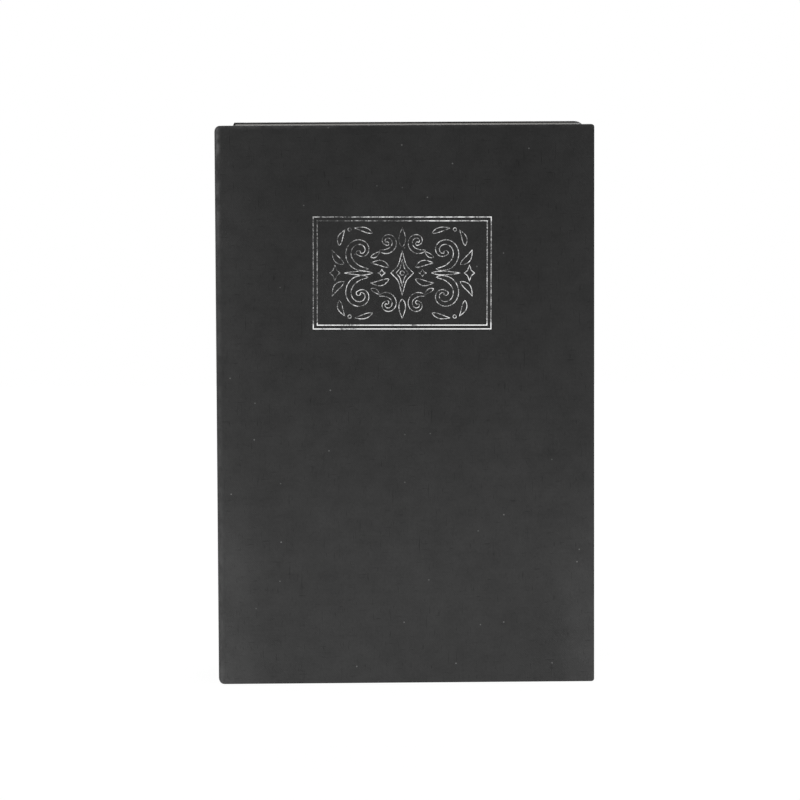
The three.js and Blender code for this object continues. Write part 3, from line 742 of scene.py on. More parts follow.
class Piece:
    """One mesh on the bench, shaped with Blender's own operators."""

    def __init__(self, obj: bpy.types.Object, name: str) -> None:
        """Takes an object over and names it."""
        self.obj = obj
        obj.name = obj.data.name = name

    @classmethod
    def added(cls, name: str, adder: Callable[..., Any], **settings: Any) -> "Piece":
        """Adds a primitive at its place.

        Args:
            name: the piece's name.
            adder: the operator that adds the primitive.
            settings: the operator's settings.

        Returns:
            The piece, with its place in its mesh.
        """
        clear_selection()
        adder(**settings)
        piece = cls(bpy.context.object, name)
        bpy.ops.object.transform_apply(location=True, rotation=True, scale=True)
        return piece

    @classmethod
    def block(cls, name: str, low: Sequence[float], high: Sequence[float]) -> "Piece":
        """Adds a block, to be cut and shaped further.

        Args:
            name: the piece's name.
            low: its lowest corner.
            high: its highest corner.

        Returns:
            The piece.
        """
        low, high = Vector(low), Vector(high)
        adder = bpy.ops.mesh.primitive_cube_add
        return cls.added(name, adder, size=1, location=(low + high) / 2, scale=high - low)

    @classmethod
    def threaded(cls, name: str, path: Sequence[Sequence[float]]) -> "Piece":
        """Adds a line of edges, to be spun or extruded.

        Args:
            name: the piece's name.
            path: the points that the line runs through.

        Returns:
            The piece.
        """
        piece = cls.added(name, bpy.ops.mesh.primitive_plane_add, size=1.0)
        with piece.chosen(Pick.VERTS, lambda vertex: vertex.index > 0):
            bpy.ops.mesh.delete(type="VERT")
        piece.moulded(lambda point: Vector(path[0]))
        for last, following in zip(path, path[1:]):
            here, step = Vector(last), Vector(following) - Vector(last)
            with piece.chosen(Pick.VERTS, lambda vertex: (vertex.co - here).length < NEAR):
                bpy.ops.mesh.extrude_region_move(TRANSFORM_OT_translate={"value": step})
        return piece

    @classmethod
    def copied(cls, name: str, node: str) -> "Piece":
        """Copies a frame node's mesh, with its loose triangles joined and flat ones merged.

        Args:
            name: the piece's name.
            node: the frame node.

        Returns:
            The piece.
        """
        piece = cls(placed(name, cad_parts[node].data.copy()), name)
        piece.obj.data.materials.clear()
        with piece.chosen(Pick.VERTS):
            bpy.ops.mesh.remove_doubles(threshold=MERGE_GAP)
            bpy.ops.mesh.dissolve_limited(angle_limit=math.radians(FLAT_ANGLE))
        return piece

    @contextmanager
    def chosen(self, pick: Pick, test: Test = everything) -> Iterator[None]:
        """Opens edit mode with some of the mesh selected, and closes it again.

        Args:
            pick: whether vertices, edges or faces are tested.
            test: says which of them are selected.

        Yields:
            Nothing: the operators in the block act on the selection.
        """
        take_up(self.obj)
        bpy.ops.object.mode_set(mode="EDIT")
        bpy.ops.mesh.select_mode(type=pick.value)
        bpy.ops.mesh.select_all(action="DESELECT")
        shape = bmesh.from_edit_mesh(self.obj.data)
        items = {Pick.VERTS: shape.verts, Pick.EDGES: shape.edges, Pick.FACES: shape.faces}[pick]
        for item in items:
            if test(item):
                item.select_set(True)
        shape.select_flush_mode()
        bmesh.update_edit_mesh(self.obj.data)
        yield
        bpy.ops.object.mode_set(mode="OBJECT")

    def bevelled(self, width: float, segments: int, test: Test) -> "Piece":
        """Rounds edges.

        Args:
            width: how far the rounding reaches from the edge.
            segments: the number of faces across it.
            test: picks the edges.

        Returns:
            This piece.
        """
        with self.chosen(Pick.EDGES, test):
            bpy.ops.mesh.bevel(offset=width, segments=segments, profile=0.5, affect="EDGES")
        return self

    def sliced(
        self,
        point: Sequence[float],
        way: Sequence[float],
        test: Test = everything,
        trim: bool = False,
    ) -> "Piece":
        """Cuts faces along a plane.

        Args:
            point: a point of the plane.
            way: the plane's normal.
            test: picks the faces.
            trim: whether what lies beyond the plane is taken off and the cut is closed.

        Returns:
            This piece.
        """
        with self.chosen(Pick.FACES, test):
            bpy.ops.mesh.bisect(plane_co=point, plane_no=way, clear_outer=trim, use_fill=trim)
        return self

    def without(self, test: Test) -> "Piece":
        """Deletes faces.

        Args:
            test: picks the faces.

        Returns:
            This piece.
        """
        with self.chosen(Pick.FACES, test):
            bpy.ops.mesh.delete(type="FACE")
        return self

    def moulded(self, shape: Callable[[Vector], Vector]) -> "Piece":
        """Moves every vertex.

        Args:
            shape: says where a point comes to lie.

        Returns:
            This piece.
        """
        for vertex in self.obj.data.vertices:
            vertex.co = shape(vertex.co)
        self.obj.data.update()
        return self

    def modified(self, kind: str, **settings: Any) -> "Piece":
        """Adds a modifier and applies it.

        Args:
            kind: the modifier's type.
            settings: its settings.

        Returns:
            This piece.
        """
        take_up(self.obj)
        modifier = self.obj.modifiers.new(kind.lower(), kind)
        for name, value in settings.items():
            setattr(modifier, name, value)
        bpy.ops.object.modifier_apply(modifier=modifier.name)
        return self

    def joined(self, *others: "Piece") -> "Piece":
        """Takes other pieces into this one and closes the seams between them.

        Args:
            others: the pieces, which are gone afterwards.

        Returns:
            This piece.
        """
        take_up(self.obj, *(piece.obj for piece in others))
        bpy.ops.object.join()
        with self.chosen(Pick.VERTS):
            bpy.ops.mesh.remove_doubles(threshold=NEAR)
        return self

    def smoothed(self, degrees: float = 35.0) -> "Piece":
        """Shades the mesh smooth, but for its sharp edges.

        Args:
            degrees: the angle from which an edge stays sharp.

        Returns:
            This piece.
        """
        take_up(self.obj)
        bpy.ops.object.shade_smooth_by_angle(angle=math.radians(degrees))
        return self

    def laid_flat(self, unroll: Callable[[Vector], Pair] | None = None) -> "Piece":
        """Gives each face its place on the flat cloth.

        Args:
            unroll: the flat place of a point on a curved piece; without it, each face is laid
                along the two axes that it faces least.

        Returns:
            This piece.
        """
        mesh = self.obj.data
        laid = mesh.uv_layers.new(name=LAID_MAP)
        for face in mesh.polygons:
            facing = max(range(3), key=lambda axis: abs(face.normal[axis]))
            kept = [axis for axis in range(3) if axis != facing]
            for loop in face.loop_indices:
                point = mesh.vertices[mesh.loops[loop].vertex_index].co
                flat = unroll(point) if unroll else (point[kept[0]], point[kept[1]])
                laid.data[loop].uv = flat
        return self

    def dressed(self, finish: Finish, slot: Slot, *nodes: str) -> "Piece":
        """Gives the piece its finish, and lets it stand for frame nodes.

        Args:
            finish: the finish.
            slot: not used.
            nodes: the frame nodes, if there are any.

        Returns:
            This piece.
        """
        self.obj.data.materials.clear()
        self.obj.data.materials.append(material_of(finish))
        if nodes:
            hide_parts(*nodes)
        log.info("made %s with %d faces", self.obj.name, len(self.obj.data.polygons))
        return self

    def rides(self, body: Body) -> "Piece":
        """Lets the piece move with a body."""
        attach(self.obj, body.value)
        return self


def dress_nodes(finish: Finish, *nodes: str) -> None:
    """Gives frame nodes their finish.

    Args:
        finish: the finish.
        nodes: the frame nodes.
    """
    for node in nodes:
        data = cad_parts[node].data
        data.materials.clear()
        data.materials.append(material_of(finish))
        log.info("dressed %s", node)


def refined(node: str, name: str, finish: Finish, slot: Slot, body: Body, edge: float) -> Piece:
    """A frame node's form with its sharp edges eased, as on a moulded or pressed piece.

    Args:
        node: the frame node whose form is copied.
        name: the piece's name.
        finish: its finish.
        slot: its material slot.
        body: the body that it moves with.
        edge: the width of the eased edges, in metres.

    Returns:
        The piece, which stands for the node.
    """
    limits = {"limit_method": "ANGLE", "angle_limit": math.radians(EASED_ANGLE)}
    piece = Piece.copied(name, node)
    piece.modified("BEVEL", width=edge, segments=EASED_STEPS, **limits)
    piece.smoothed(SMOOTH_ANGLE).modified("WEIGHTED_NORMAL", keep_sharp=True)
    return piece.dressed(finish, slot, node).rides(body)


@dataclass
class Lamp:
    """A soft rectangular lamp."""

    name: str
    position: Triple
    aim: Triple
    size: Pair
    power: float

    def build(self) -> None:
        """Adds the lamp to the scene, out of the camera's sight."""
        data = bpy.data.lights.new(self.name, "AREA")
        data.shape = "RECTANGLE"
        data.size, data.size_y = self.size
        data.energy = self.power
        obj = placed(self.name, data)
        obj.location = self.position
        way = Vector(self.aim) - Vector(self.position)
        obj.rotation_euler = way.to_track_quat("-Z", "Y").to_euler()
        obj.visible_camera = False


@dataclass
class Studio:
    """The camera, the lamps and the white surround."""

    camera_place: Triple = (-0.04426, -1.728, 0.27933)
    yaw: float = -1.4113
    pitch: float = -5.3183
    roll: float = 0.2349
    focal_pixels: float = 4035.3
    image_pixels: float = 800.0
    sensor: float = 36.0
    clip: Pair = (0.01, 50.0)
    ambient: float = 0.3
    floor_half: float = 1.4
    floor_drop: float = 0.05 * MM

    def build(self) -> None:
        """Adds the camera, the surround and the lamps."""
        bpy.context.scene.view_settings.view_transform = "Standard"
        self.add_camera()
        self.add_world()
        self.add_floor()
        for lamp in self.lamps():
            lamp.build()

    def add_camera(self) -> None:
        """Adds the camera where the photograph was taken from."""
        data = bpy.data.cameras.new("camera")
        data.sensor_width = self.sensor
        data.lens = self.focal_pixels / self.image_pixels * self.sensor
        data.clip_start, data.clip_end = self.clip
        turn = Matrix.Rotation(math.radians(self.yaw), 4, "Z")
        turn @= Matrix.Rotation(math.radians(self.pitch), 4, "X")
        turn @= Matrix.Rotation(math.radians(self.roll), 4, "Y")
        level = Matrix.Rotation(math.pi / 2, 4, "X")
        obj = placed("camera", data)
        obj.matrix_world = Matrix.Translation(self.camera_place) @ turn @ level
        bpy.context.scene.camera = obj

    def add_world(self) -> None:
        """Makes the surround white to the camera and to gloss, and soft as a light."""
        world = bpy.data.worlds.new("surround")
        bpy.context.scene.world = world
        graph = Graph(world)
        strength = self.ambient + graph.seen() * (1 - self.ambient)
        sky = graph.node("ShaderNodeBackground", inputs={"Color": grey(1.0), "Strength": strength})
        graph.node_end("ShaderNodeOutputWorld", sky)

    def add_floor(self) -> None:
        """Adds the floor that the book stands on."""
        half, drop = self.floor_half, self.floor_drop
        adder = bpy.ops.mesh.primitive_grid_add
        floor = Piece.added("studio_floor", adder, size=2 * half, location=(0, 0, -drop))
        floor.obj.data.materials.append(material_of(FLOOR))

    def lamps(self) -> list[Lamp]:
        """The lamps: overhead, at both sides, behind, and a low one that lifts the tail.

        Returns:
            The lamps.
        """
        book, tail = (0.0, 0.0, 0.1), (-0.01, 0.0, 0.012)
        return [
            Lamp("overhead", (-0.3, -0.7, 1.8), aim=book, size=(1.2, 1.2), power=8.0),
            Lamp("left", (-1.5, -0.5, 0.5), aim=book, size=(0.8, 1.0), power=6.0),
            Lamp("right", (1.5, -0.1, 0.6), aim=book, size=(0.8, 1.0), power=6.0),
            Lamp("behind", (0.3, 1.6, 0.9), aim=book, size=(1.2, 1.0), power=12.0),
            Lamp("low", (-0.01, -0.175, 0.012), aim=tail, size=(0.4, 0.02), power=0.24),
        ]


@dataclass
class Covers:
    """The case of the book: two covers, the spine, the joints between them and their linings."""

    left: float = -HALF_WIDTH
    right: float = HALF_WIDTH
    front: float = -HALF_DEPTH
    back: float = HALF_DEPTH
    height: float = BOOK_HEIGHT
    cloth: float = 0.35 * MM
    thickness: float = 3.0 * MM
    edge: float = 0.6 * MM
    edge_steps: int = 4
    corner: float = 1.2 * MM
    corner_steps: int = 8
    back_corner: float = 4.8 * MM
    turn_in: float = 13.0 * MM
    joint: float = 3.0 * MM
    setback: float = 2.2 * MM
    nip_low: float = -73.5 * MM
    nip_high: float = -72.3 * MM
    nip_steps: int = 8
    joint_steps: int = 16
    fold_steps: int = 4
    fold_depth: float = 1.2 * MM
    draw_roundness: float = 1.6
    draw_reach: float = 60.0 * MM
    guard: float = 0.12 * MM
    guard_reach: float = 5.0 * MM
    guard_gap: float = 0.05 * MM
    board_margin: float = 0.7 * MM

    def build(self) -> None:
        """Makes every piece of the case."""
        self.add_front()
        self.add_case()
        self.add_joint()
        self.add_guards()
        dress_nodes(LINING, "front_lining")
        self.nipped_copy("back_lining_paper", "back_lining", LINING, Slot.LINING)
        dress_nodes(GREYBOARD, "front_board", "spine_board")
        self.nipped_copy("back_greyboard", "back_board", GREYBOARD, Slot.BOARD)

    def panel(self, name: str, outer: float, inner: float, corner: float) -> Piece:
        """The skin of one covered board, open at its joint and inside its turn-ins.

        Args:
            name: the piece's name.
            outer: where the board's outer face lies along y.
            inner: where its inner face lies along y.
            corner: the radius of its corners at the fore edge.

        Returns:
            The skin, which has no thickness yet.
        """
        hinge = self.left + self.joint
        low = (hinge, min(outer, inner), 0.0)
        piece = Piece.block(name, low, (self.right, max(outer, inner), self.height))

        def at_corner(edge: bmesh.types.BMEdge) -> bool:
            """Whether an edge runs through the board at its fore edge."""
            first, second = (vertex.co for vertex in edge.verts)
            return abs(first.y - second.y) > self.edge and first.x > self.right - NEAR

        def on_rim(edge: bmesh.types.BMEdge) -> bool:
            """Whether an edge bounds the outer or inner face, but not at the joint."""
            first, second = (vertex.co for vertex in edge.verts)
            return abs(first.y - second.y) < NEAR and max(first.x, second.x) > hinge + NEAR

        def at_hinge(face: bmesh.types.BMFace) -> bool:
            """Whether a face closes the board's end at the joint."""
            return face.normal.x < -FACING

        piece.bevelled(corner, self.corner_steps, at_corner)
        piece.bevelled(self.edge, self.edge_steps, on_rim)
        is_back = outer > inner
        reach = self.height / 2 - (0.0 if is_back else self.edge + self.board_margin)
        middle = Vector((hinge, inner, self.height / 2))
        for up in (-1, 1):
            piece.sliced(middle + Vector((0, 0, up * reach)), (0, 0, 1), at_hinge)
        piece.without(
            lambda face: at_hinge(face) and abs(face.calc_center_median().z - middle.z) < reach
        )
        if is_back:
            self.nip(piece)
        way = math.copysign(1.0, inner - outer)
        half = (self.right - self.turn_in - hinge, self.height / 2 - self.turn_in)
        return self.opened(piece, lambda face: face.normal.y * way > FACING, middle, half)

    def nip(self, piece: Piece) -> None:
        """Brings a skin's corners beside the spine down to the spine's height in a soft step.

        Args:
            piece: the skin.
        """
        lower, run = self.nip_low, self.nip_high - self.nip_low
        for step in range(self.nip_steps + 1):
            piece.sliced((lower + run * step / self.nip_steps, 0, 0), (1, 0, 0))

        def lowered(point: Vector) -> Vector:
            """Brings one point down.

            Args:
                point: the point.

            Returns:
                Where it comes to lie.
            """
            share = min(1.0, max(0.0, (point.x - lower) / run))
            drop = self.setback * (1 - share * share * (3 - 2 * share))
            return point + Vector((0, 0, drop if point.z < self.height / 2 else -drop))

        piece.moulded(lowered)

    def nipped_copy(self, name: str, node: str, finish: Finish, slot: Slot) -> None:
        """Makes a copy of a board or lining that keeps within the back cover's corners.

        Args:
            name: the copy's name.
            node: the frame node that is copied.
            finish: its finish.
            slot: its material slot.
        """
        piece = Piece.copied(name, node)
        ends = ((self.height, 1), (0.0, -1))
        round_off = self.back_corner * (math.sqrt(2) - 1) + self.cloth
        for end, up in ends:
            outwards = Vector((1, 0, up)).normalized()
            piece.sliced(Vector((self.right, 0, end)) - outwards * round_off, outwards, trim=True)
        run = self.nip_high - self.nip_low
        for end, up in ends:
            corner = Vector((self.nip_high, 0, end)) + Vector((1, 0, -up)) * self.edge
            outwards = Vector((-self.setback, 0, up * run)).normalized()
            piece.sliced(corner, outwards, trim=True)
        piece.smoothed().dressed(finish, slot, node).rides(Body.CASE)

    def opened(self, piece: Piece, inner: Test, middle: Vector, half: Pair) -> Piece:
        """Cuts away the inner face within the turn-ins.

        Args:
            piece: the skin.
            inner: picks its inner face.
            middle: the middle of the opening.
            half: how far the opening reaches along x and z.

        Returns:
            The skin, open inside.
        """
        across, up = half
        for way, reach in (((1, 0, 0), across), ((0, 0, 1), up), ((0, 0, -1), up)):
            piece.sliced(middle + Vector(way) * reach, way, inner)

        def in_opening(face: bmesh.types.BMFace) -> bool:
            """Whether a face lies in the opening."""
            off = face.calc_center_median() - middle
            return inner(face) and off.x < across and abs(off.z) < up

        return piece.without(in_opening)

    def spine_skin(self) -> Piece:
        """The skin of the covered spine board, open at both joints and inside its turn-ins.

        Returns:
            The skin, which has no thickness yet.
        """
        reach = self.back - self.joint
        low = (self.left, -reach, self.setback)
        high = (self.left + self.thickness, reach, self.height - self.setback)
        piece = Piece.block("spine_skin", low, high)

        def across(edge: bmesh.types.BMEdge) -> bool:
            """Whether an edge runs from joint to joint."""
            return abs(edge.verts[0].co.y - edge.verts[1].co.y) > reach

        piece.bevelled(self.edge, self.edge_steps, across)
        piece.without(lambda face: abs(face.normal.y) > FACING)
        middle = (Vector(low) + Vector(high)) / 2
        half = (self.thickness, self.height / 2 - self.setback - self.turn_in)
        return self.opened(piece, lambda face: face.normal.x > FACING, middle, half)

    def joint_skin(self, name: str, side: float) -> Piece:
        """The quarter tube of cloth between the spine and a cover, with its ends folded in.

        Args:
            name: the piece's name.
            side: -1 for the front joint, 1 for the back one.

        Returns:
            The skin, whose ends draw in from the cover's height to the spine's.
        """
        axis = Vector((self.left + self.joint, side * (self.back - self.joint), 0.0))
        middle = self.height / 2
        depth = self.fold_depth if side < 0 else self.thickness
        angles = [math.pi / 2 * step / self.fold_steps for step in range(self.fold_steps + 1)]
        outer = [(self.edge * (1 - math.cos(a)), self.edge * (1 - math.sin(a))) for a in angles]
        inner = [(depth - out, up) for out, up in outer[::-1]]
        end = outer + (inner if side > 0 else inner[1:]) + [(depth, self.turn_in)]
        half = [(axis.x - self.joint + out, axis.y, up) for out, up in end]
        path = half[::-1] + [(x, y, self.height - z) for x, y, z in half]
        piece = Piece.threaded(name, path)
        quarter = math.pi / 2 * side
        with piece.chosen(Pick.EDGES):
            bpy.ops.mesh.spin(steps=self.joint_steps, angle=quarter, center=axis, axis=(0, 0, 1))

        def drawn_in(point: Vector) -> Vector:
            """Draws the ends in.

            Args:
                point: one of the skin's points.

            Returns:
                Where it comes to lie.
            """
            off = (point - axis).to_2d()
            turned = 0.0 if side > 0 else abs(off.y) / off.length
            share = max(0.0, 1 - turned) ** self.draw_roundness
            reach = max(0.0, 1 - min(point.z, self.height - point.z) / self.draw_reach)
            inset = self.setback * share * min(1.0, 2 * reach)
            return point + Vector((0, 0, inset if point.z < middle else -inset))

        piece.moulded(drawn_in)
        with piece.chosen(Pick.VERTS):
            bpy.ops.mesh.remove_doubles(threshold=NEAR)
            bpy.ops.mesh.normals_make_consistent(inside=False)
        return piece

    def thickened(self, skin: Piece) -> Piece:
        """Gives a skin the cloth's thickness, inwards."""
        return skin.modified("SOLIDIFY", thickness=self.cloth, offset=-1.0)

    def add_front(self) -> None:
        """Makes the front cover's cloth."""
        inner = self.front + self.thickness
        piece = self.panel("front_cover_cloth", self.front, inner, self.corner)
        self.thickened(piece).smoothed().laid_flat()
        piece.dressed(CLOTH, Slot.CLOTH, "front_cloth").rides(Body.COVER)

    def add_case(self) -> None:
        """Makes the cloth that runs from the spine over the back cover."""
        inner = self.back - self.thickness
        piece = self.panel("case_cover_cloth", self.back, inner, self.back_corner)
        piece.joined(self.joint_skin("back_joint", 1.0), self.spine_skin())
        self.thickened(piece).smoothed().laid_flat()
        piece.dressed(CLOTH, Slot.CLOTH, "case_cloth").rides(Body.CASE)

    def add_joint(self) -> None:
        """Makes the cloth of the front joint."""
        piece = self.thickened(self.joint_skin("joint_cover_cloth", -1.0))
        hinge = Vector((self.left + self.joint, self.front + self.joint, 0.0))

        def unrolled(point: Vector) -> Pair:
            """A point's place along the arc and up the book."""
            angle = math.atan2(hinge.y - point.y, hinge.x - point.x)
            return (hinge.x - self.joint * (math.pi / 2 - angle), point.z)

        piece.smoothed().laid_flat(unrolled).dressed(CLOTH, Slot.CLOTH, "joint_cloth")
        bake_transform(piece.obj)

    def folded_strip(self, name: str, path: Outline, ends: Pair) -> Piece:
        """A strip of paper that follows a path across the book.

        Args:
            name: the piece's name.
            path: the points in x and y that the strip is folded along.
            ends: its lower and upper end along z.

        Returns:
            The strip, with its thickness.
        """
        low, high = ends
        piece = Piece.threaded(name, [(x, y, low) for x, y in path])
        with piece.chosen(Pick.EDGES):
            bpy.ops.mesh.extrude_region_move(TRANSFORM_OT_translate={"value": (0, 0, high - low)})
        return piece.modified("SOLIDIFY", thickness=self.guard, offset=0.0)

    def add_guards(self) -> None:
        """Makes the two paper strips that hide the boards' ends at the open joint."""
        hinge = self.left + self.joint
        gap = self.guard_gap + self.guard / 2
        inner = self.front + self.thickness
        ends = (self.edge + self.board_margin, self.height - self.edge - self.board_margin)
        cover_path = [
            (hinge - gap, self.front + self.cloth + gap),
            (hinge - gap, inner + gap),
            (hinge + self.guard_reach, inner + gap),
        ]
        strip = self.folded_strip("cover_hinge_paper", cover_path, ends)
        strip.dressed(LINING, Slot.LINING).rides(Body.COVER)
        rim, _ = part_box("page_frame")
        spine_end = (self.setback + self.edge, self.height - self.setback - self.edge)
        case_path = [
            (self.left + self.cloth + gap, inner - gap),
            (rim.x - gap, inner - gap),
            (rim.x - gap, rim.y - gap),
            (rim.x + self.guard_reach, rim.y - gap),
        ]
        strip = self.folded_strip("case_hinge_paper", case_path, spine_end)
        strip.dressed(LINING, Slot.LINING).rides(Body.CASE)


@dataclass
class FoilStamp:
    """The silver stamping on the front: a double frame round a scroll ornament."""

    centre: Pair = STAMP_CENTRE
    outer: Pair = (75.08 * MM, 47.29 * MM)
    inner: Pair = (71.72 * MM, 44.08 * MM)
    tilt: float = -0.3
    rule: float = 0.33 * MM
    stroke: float = 0.17 * MM
    face: float = -HALF_DEPTH
    proud: float = 0.03 * MM
    curve_steps: int = 56
    leaf_steps: int = 14
    cap_steps: int = 8
    side_steps: int = 8
    ring_steps: int = 18
    hollow: float = 0.28
    bulb_parts: float = 10.0
    point_parts: float = 9.0
    belly_lean: float = 0.75
    bevel_steps: int = 1
    smooth_angle: float = 60.0

    def build(self) -> None:
        """Makes the frame and the ornament."""
        frames = [self.rectangle(self.outer), self.rectangle(self.inner)]
        self.stamped("foil_frame", frames, self.rule)
        self.stamped("foil_ornament", self.ornament(), self.stroke)

    def stamped(self, name: str, loops: list[Outline], radius: float) -> None:
        """Draws closed lines in foil on the cover.

        Args:
            name: the piece's name.
            loops: closed lines, as x and z round the stamp's centre.
            radius: half the width of a line.
        """
        data = bpy.data.curves.new(name, "CURVE")
        data.dimensions = "3D"
        data.bevel_depth = radius
        data.bevel_resolution = self.bevel_steps
        for loop in loops:
            line = data.splines.new("POLY")
            line.points.add(len(loop) - 1)
            line.use_cyclic_u = True
            for point, (x, z) in zip(line.points, loop):
                point.co = (x, 0.0, z, 1.0)
        take_up(placed(name, data))
        bpy.ops.object.convert(target="MESH")
        piece = Piece(bpy.context.object, name)
        turn = Matrix.Rotation(math.radians(-self.tilt), 3, "Y")
        shift = Vector((self.centre[0], self.face, self.centre[1]))
        flat = self.proud / radius
        piece.moulded(lambda p: turn @ Vector((p.x, p.y * flat, p.z)) + shift)
        piece.smoothed(self.smooth_angle).dressed(FOIL, Slot.CLOTH).rides(Body.COVER)

    def rectangle(self, size: Pair) -> Outline:
        """The corners of a rectangle round the centre."""
        x, z = size[0] / 2, size[1] / 2
        return [(x, z), (-x, z), (-x, -z), (x, -z)]

    def band(self, middle: Outline, widths: Triple) -> Outline:
        """The outline of a band that starts in a point and ends in a round bulb.

        It widens over the first of point_parts, and swells over the last of bulb_parts.

        Args:
            middle: the points along the band's middle.
            widths: its width near the start, before the bulb and at the bulb.

        Returns:
            The outline's points.
        """
        start, end, bulb = widths
        last = len(middle) - 1
        left, right = [], []
        for i, (x, z) in enumerate(middle):
            before, after = Vector(middle[max(i - 1, 0)]), Vector(middle[min(i + 1, last)])
            way = (after - before).normalized()
            share = i / last
            swell = max(0.0, share * self.bulb_parts - (self.bulb_parts - 1)) ** 2
            taper = min(1.0, math.sqrt(share * self.point_parts))
            width = (start + (end - start) * share) * taper + (bulb - end) * swell
            left.append((x - way.y * width / 2, z + way.x * width / 2))
            right.append((x + way.y * width / 2, z - way.x * width / 2))
        angles = [math.pi * step / self.cap_steps for step in range(1, self.cap_steps)]
        side = Vector((-way.y, way.x))
        cap = [Vector((x, z)) + (side * math.cos(a) + way * math.sin(a)) * bulb / 2 for a in angles]
        return left + [tuple(point) for point in cap] + right[:0:-1]

    def scroll(self, centre: Pair, radii: Pair, turn: Pair, widths: Triple) -> Outline:
        """The outline of a scroll that winds in on itself.

        Args:
            centre: the middle of the scroll, in millimetres.
            radii: its radius at the start and at the eye.
            turn: the angle that it starts at and the angle that it sweeps, in degrees.
            widths: the widths of its band.

        Returns:
            The outline's points.
        """
        middle = []
        for step in range(self.curve_steps + 1):
            share = step / self.curve_steps
            angle = math.radians(turn[0] + turn[1] * share)
            radius = radii[0] * (radii[1] / radii[0]) ** share
            across, up = radius * math.cos(angle), radius * math.sin(angle)
            middle.append((centre[0] + across, centre[1] + up))
        return self.band(middle, widths)

    def leaf(self, base: Pair, tip: Pair, width: float, bow: float = 0.0) -> Outline:
        """The outline of a pointed leaf.

        Args:
            base: where the leaf starts, in millimetres.
            tip: where it ends.
            width: its greatest width.
            bow: how far it is bowed to one side.

        Returns:
            The outline's points.
        """
        stem = Vector(tip) - Vector(base)
        side = Vector((-stem.y, stem.x)).normalized()
        shares = [step / self.leaf_steps for step in range(self.leaf_steps + 1)]
        edges = [(share, 1.0) for share in shares] + [(share, -1.0) for share in shares[-2:0:-1]]
        outline = []
        for share, hand in edges:
            belly = math.sin(math.pi * share**self.belly_lean)
            off = bow * math.sin(math.pi * share) + hand * width / 2 * belly
            outline.append(tuple(Vector(base) + stem * share + side * off))
        return outline

    def lozenge(self, centre: Pair, half: Pair) -> Outline:
        """The outline of a lozenge with hollow sides.

        Args:
            centre: its middle, in millimetres.
            half: how far its tips lie from there across and up.

        Returns:
            The outline's points.
        """
        tips = [(half[0], 0.0), (0.0, half[1]), (-half[0], 0.0), (0.0, -half[1])]
        outline = []
        for first, second in zip(tips, tips[1:] + tips[:1]):
            for step in range(self.side_steps):
                share = step / self.side_steps
                point = Vector(first).lerp(Vector(second), share)
                point *= 1 - self.hollow * math.sin(math.pi * share)
                outline.append((centre[0] + point.x, centre[1] + point.y))
        return outline

    def ring(self, centre: Pair, radius: float) -> Outline:
        """The outline of a ring."""
        turns = [math.tau * step / self.ring_steps for step in range(self.ring_steps)]
        return [(centre[0] + radius * math.cos(a), centre[1] + radius * math.sin(a)) for a in turns]

    def ornament(self) -> list[Outline]:
        """A bookbinder's ornament: scrolls, leaves and lozenges, alike in all four quarters.

        Returns:
            Its closed lines, in metres round the stamp's centre.
        """
        quarter = [
            self.scroll((17.4, 9.4), (8.2, 1.4), (-112, 430), (2.6, 1.1, 2.0)),
            self.scroll((6.4, 13.4), (5.0, 1.0), (-48, -400), (2.1, 0.9, 1.6)),
            self.leaf((5.6, 2.6), (13.4, 4.2), 2.3, 0.9),
            self.leaf((24.6, 3.6), (29.6, 9.8), 2.5, -0.9),
            self.leaf((12.6, 16.9), (20.2, 19.0), 1.9, 0.5),
            self.leaf((26.6, 11.6), (24.2, 18.2), 2.1, -0.7),
            self.leaf((13.2, 6.6), (9.4, 9.2), 1.6, 0.3),
            self.ring((22.2, 18.4), 0.7),
        ]
        ways = [(across, up) for across in (1, -1) for up in (1, -1)]
        loops = [[(x * across, z * up) for x, z in part] for part in quarter for across, up in ways]
        loops += [self.lozenge((0, 0), (4.8, 9.4)), self.lozenge((0, 0), (2.6, 5.8))]
        loops.append(self.ring((0, 0), 0.9))
        for side in (1, -1):
            loops.append(self.lozenge((28.4 * side, 0), (2.2, 3.4)))
            loops.append(self.lozenge((8.6 * side, 0), (1.6, 1.6)))
            loops.append(self.leaf((12.4 * side, 0), (24.6 * side, 0), 1.6))
            loops.append(self.leaf((0, 11.0 * side), (0, 19.2 * side), 2.8))
        return [[(x * MM, z * MM) for x, z in loop] for loop in loops]


class Side(Enum):
    """The sides of the block of leaves that show, by the strip that lies there."""

    HEAD = "page_edge_head"
    TAIL = "page_edge_tail"
    FORE = "page_edge_fore"


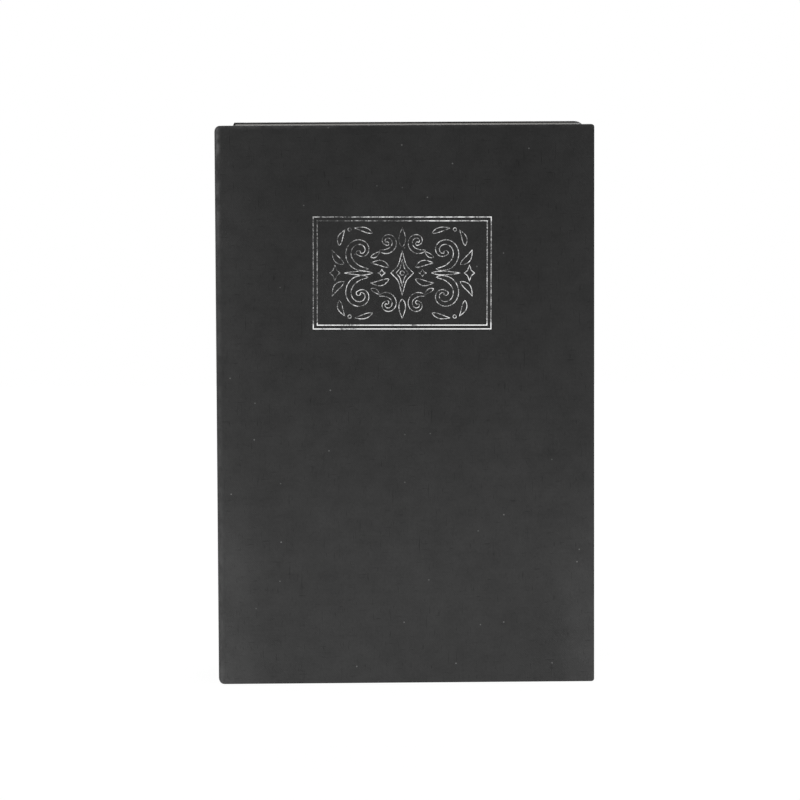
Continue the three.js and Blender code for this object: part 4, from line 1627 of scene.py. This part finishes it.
@dataclass
class PageBlock:
    """The moulded frame and the strips under it, which look like the edges of leaves."""

    wall: float = 2.3 * MM
    leaf_low: float = 0.45 * MM
    leaf_high: float = 1.35 * MM
    setback: float = 0.22 * MM
    groove: float = 0.32 * MM
    shoulder: float = 0.07 * MM
    wander: float = 0.05 * MM
    columns: int = 36
    seed: int = 15
    smooth_angle: float = 30.0
    frame_edge: float = 0.2 * MM

    def build(self) -> None:
        """Makes the leaves' edges and dresses the frame."""
        for side in Side:
            self.add_leaves(side)
        dress_nodes(PAGES, "page_edge_spine")
        place = (PAGES, Slot.PAGES, Body.CASE)
        refined("page_frame", "moulded_page_frame", *place, self.frame_edge)

    def rows(self, low: float, high: float, draw: random.Random) -> Outline:
        """The profile across the leaves.

        Args:
            low: where the block starts along y.
            high: where it ends.
            draw: the source of the leaves' uneven sizes.

        Returns:
            Points of y and depth below the face.
        """
        points = []
        at = low
        while at < high - self.leaf_low:
            width = min(draw.uniform(self.leaf_low, self.leaf_high), high - at)
            depth = draw.uniform(0.0, self.setback)
            points += [
                (at, depth + self.groove),
                (at + self.shoulder, depth),
                (at + width - self.shoulder, depth),
            ]
            at += width
        return points + [(high, self.groove)]

    def add_leaves(self, side: Side) -> None:
        """Makes the leaves' edges on one side of the block; each side shows the same leaves.

        Args:
            side: the side.
        """
        low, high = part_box(side.value)
        draw = random.Random(self.seed)
        profile = self.rows(low.y, high.y, draw)
        drift = [draw.uniform(-self.wander, self.wander) for _ in profile]
        along_x = side is not Side.FORE
        start, length = (low.x, high.x - low.x) if along_x else (low.z, high.z - low.z)
        face = {Side.HEAD: high.z, Side.TAIL: low.z, Side.FORE: high.x}[side]
        inward = 1.0 if side is Side.TAIL else -1.0
        last = len(profile) - 1
        cells = {"x_subdivisions": self.columns, "y_subdivisions": last}
        adder = bpy.ops.mesh.primitive_grid_add
        piece = Piece.added(side.value + "_leaves", adder, size=2.0, **cells)

        def laid(point: Vector) -> Vector:
            """Lays the flat grid on the block.

            Args:
                point: one of the grid's points, from -1 to 1 both ways.

            Returns:
                Where it comes to lie.
            """
            row = round((point.y + 1) / 2 * last)
            share = (point.x + 1) / 2
            y, depth = profile[row]
            y += drift[row] * math.sin(math.pi * share) * (0 < row < last)
            along = start + share * length
            out = face + inward * depth
            return Vector((along, y, out)) if along_x else Vector((out, y, along))

        piece.moulded(laid)
        back = face + inward * self.wall
        with piece.chosen(Pick.EDGES, lambda edge: edge.is_boundary):
            step = inward * self.wall
            step = (0, 0, step) if along_x else (step, 0, 0)
            level, middle = ((1, 1, 0), (0, 0, back)) if along_x else ((0, 1, 1), (back, 0, 0))
            bpy.ops.mesh.extrude_region_move(TRANSFORM_OT_translate={"value": step})
            bpy.ops.transform.resize(value=level, center_override=middle)
            bpy.ops.mesh.edge_face_add()
        with piece.chosen(Pick.FACES):
            bpy.ops.mesh.normals_make_consistent(inside=False)
        piece.smoothed(self.smooth_angle).dressed(PAGES, Slot.PAGES, side.value).rides(Body.CASE)


@dataclass
class SteelBox:
    """The folded steel tray and lid with their rolled hinge and screws."""

    fold_edge: float = 0.12 * MM

    def build(self) -> None:
        """Dresses the box."""
        refined("box_tray", "steel_tray", BLACK_STEEL, Slot.STEEL, Body.CASE, self.fold_edge)
        refined("box_lid", "steel_lid", BLACK_STEEL, Slot.STEEL, Body.LID, self.fold_edge)
        dress_nodes(ZINC, "hinge_pin", *(f"tray_screw_{number}" for number in range(1, 5)))


@dataclass
class CamLock:
    """The key lock in the lid."""

    edge: float = 0.1 * MM

    def build(self) -> None:
        """Dresses the lock."""
        refined("lock_barrel", "nickel_barrel", NICKEL, Slot.NICKEL, Body.LID, self.edge)
        refined("lock_nut", "nickel_nut", NICKEL, Slot.NICKEL, Body.LID, self.edge)
        refined("lock_plug", "brass_plug", BRASS, Slot.BRASS, Body.CORE, self.edge)
        refined("lock_cam", "zinc_cam", ZINC, Slot.ZINC, Body.CORE, self.edge)
        dress_nodes(ZINC, "lock_washer", "stop_disc", "cam_washer", "cam_screw")


def main() -> None:
    """Builds the studio and the safe."""
    logging.basicConfig(level=logging.INFO, format="%(message)s")
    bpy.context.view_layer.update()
    for part in (Studio(), Covers(), FoilStamp(), PageBlock(), SteelBox(), CamLock()):
        part.build()
        log.info("built %s", type(part).__name__)


if __name__ == "__main__":
    main()
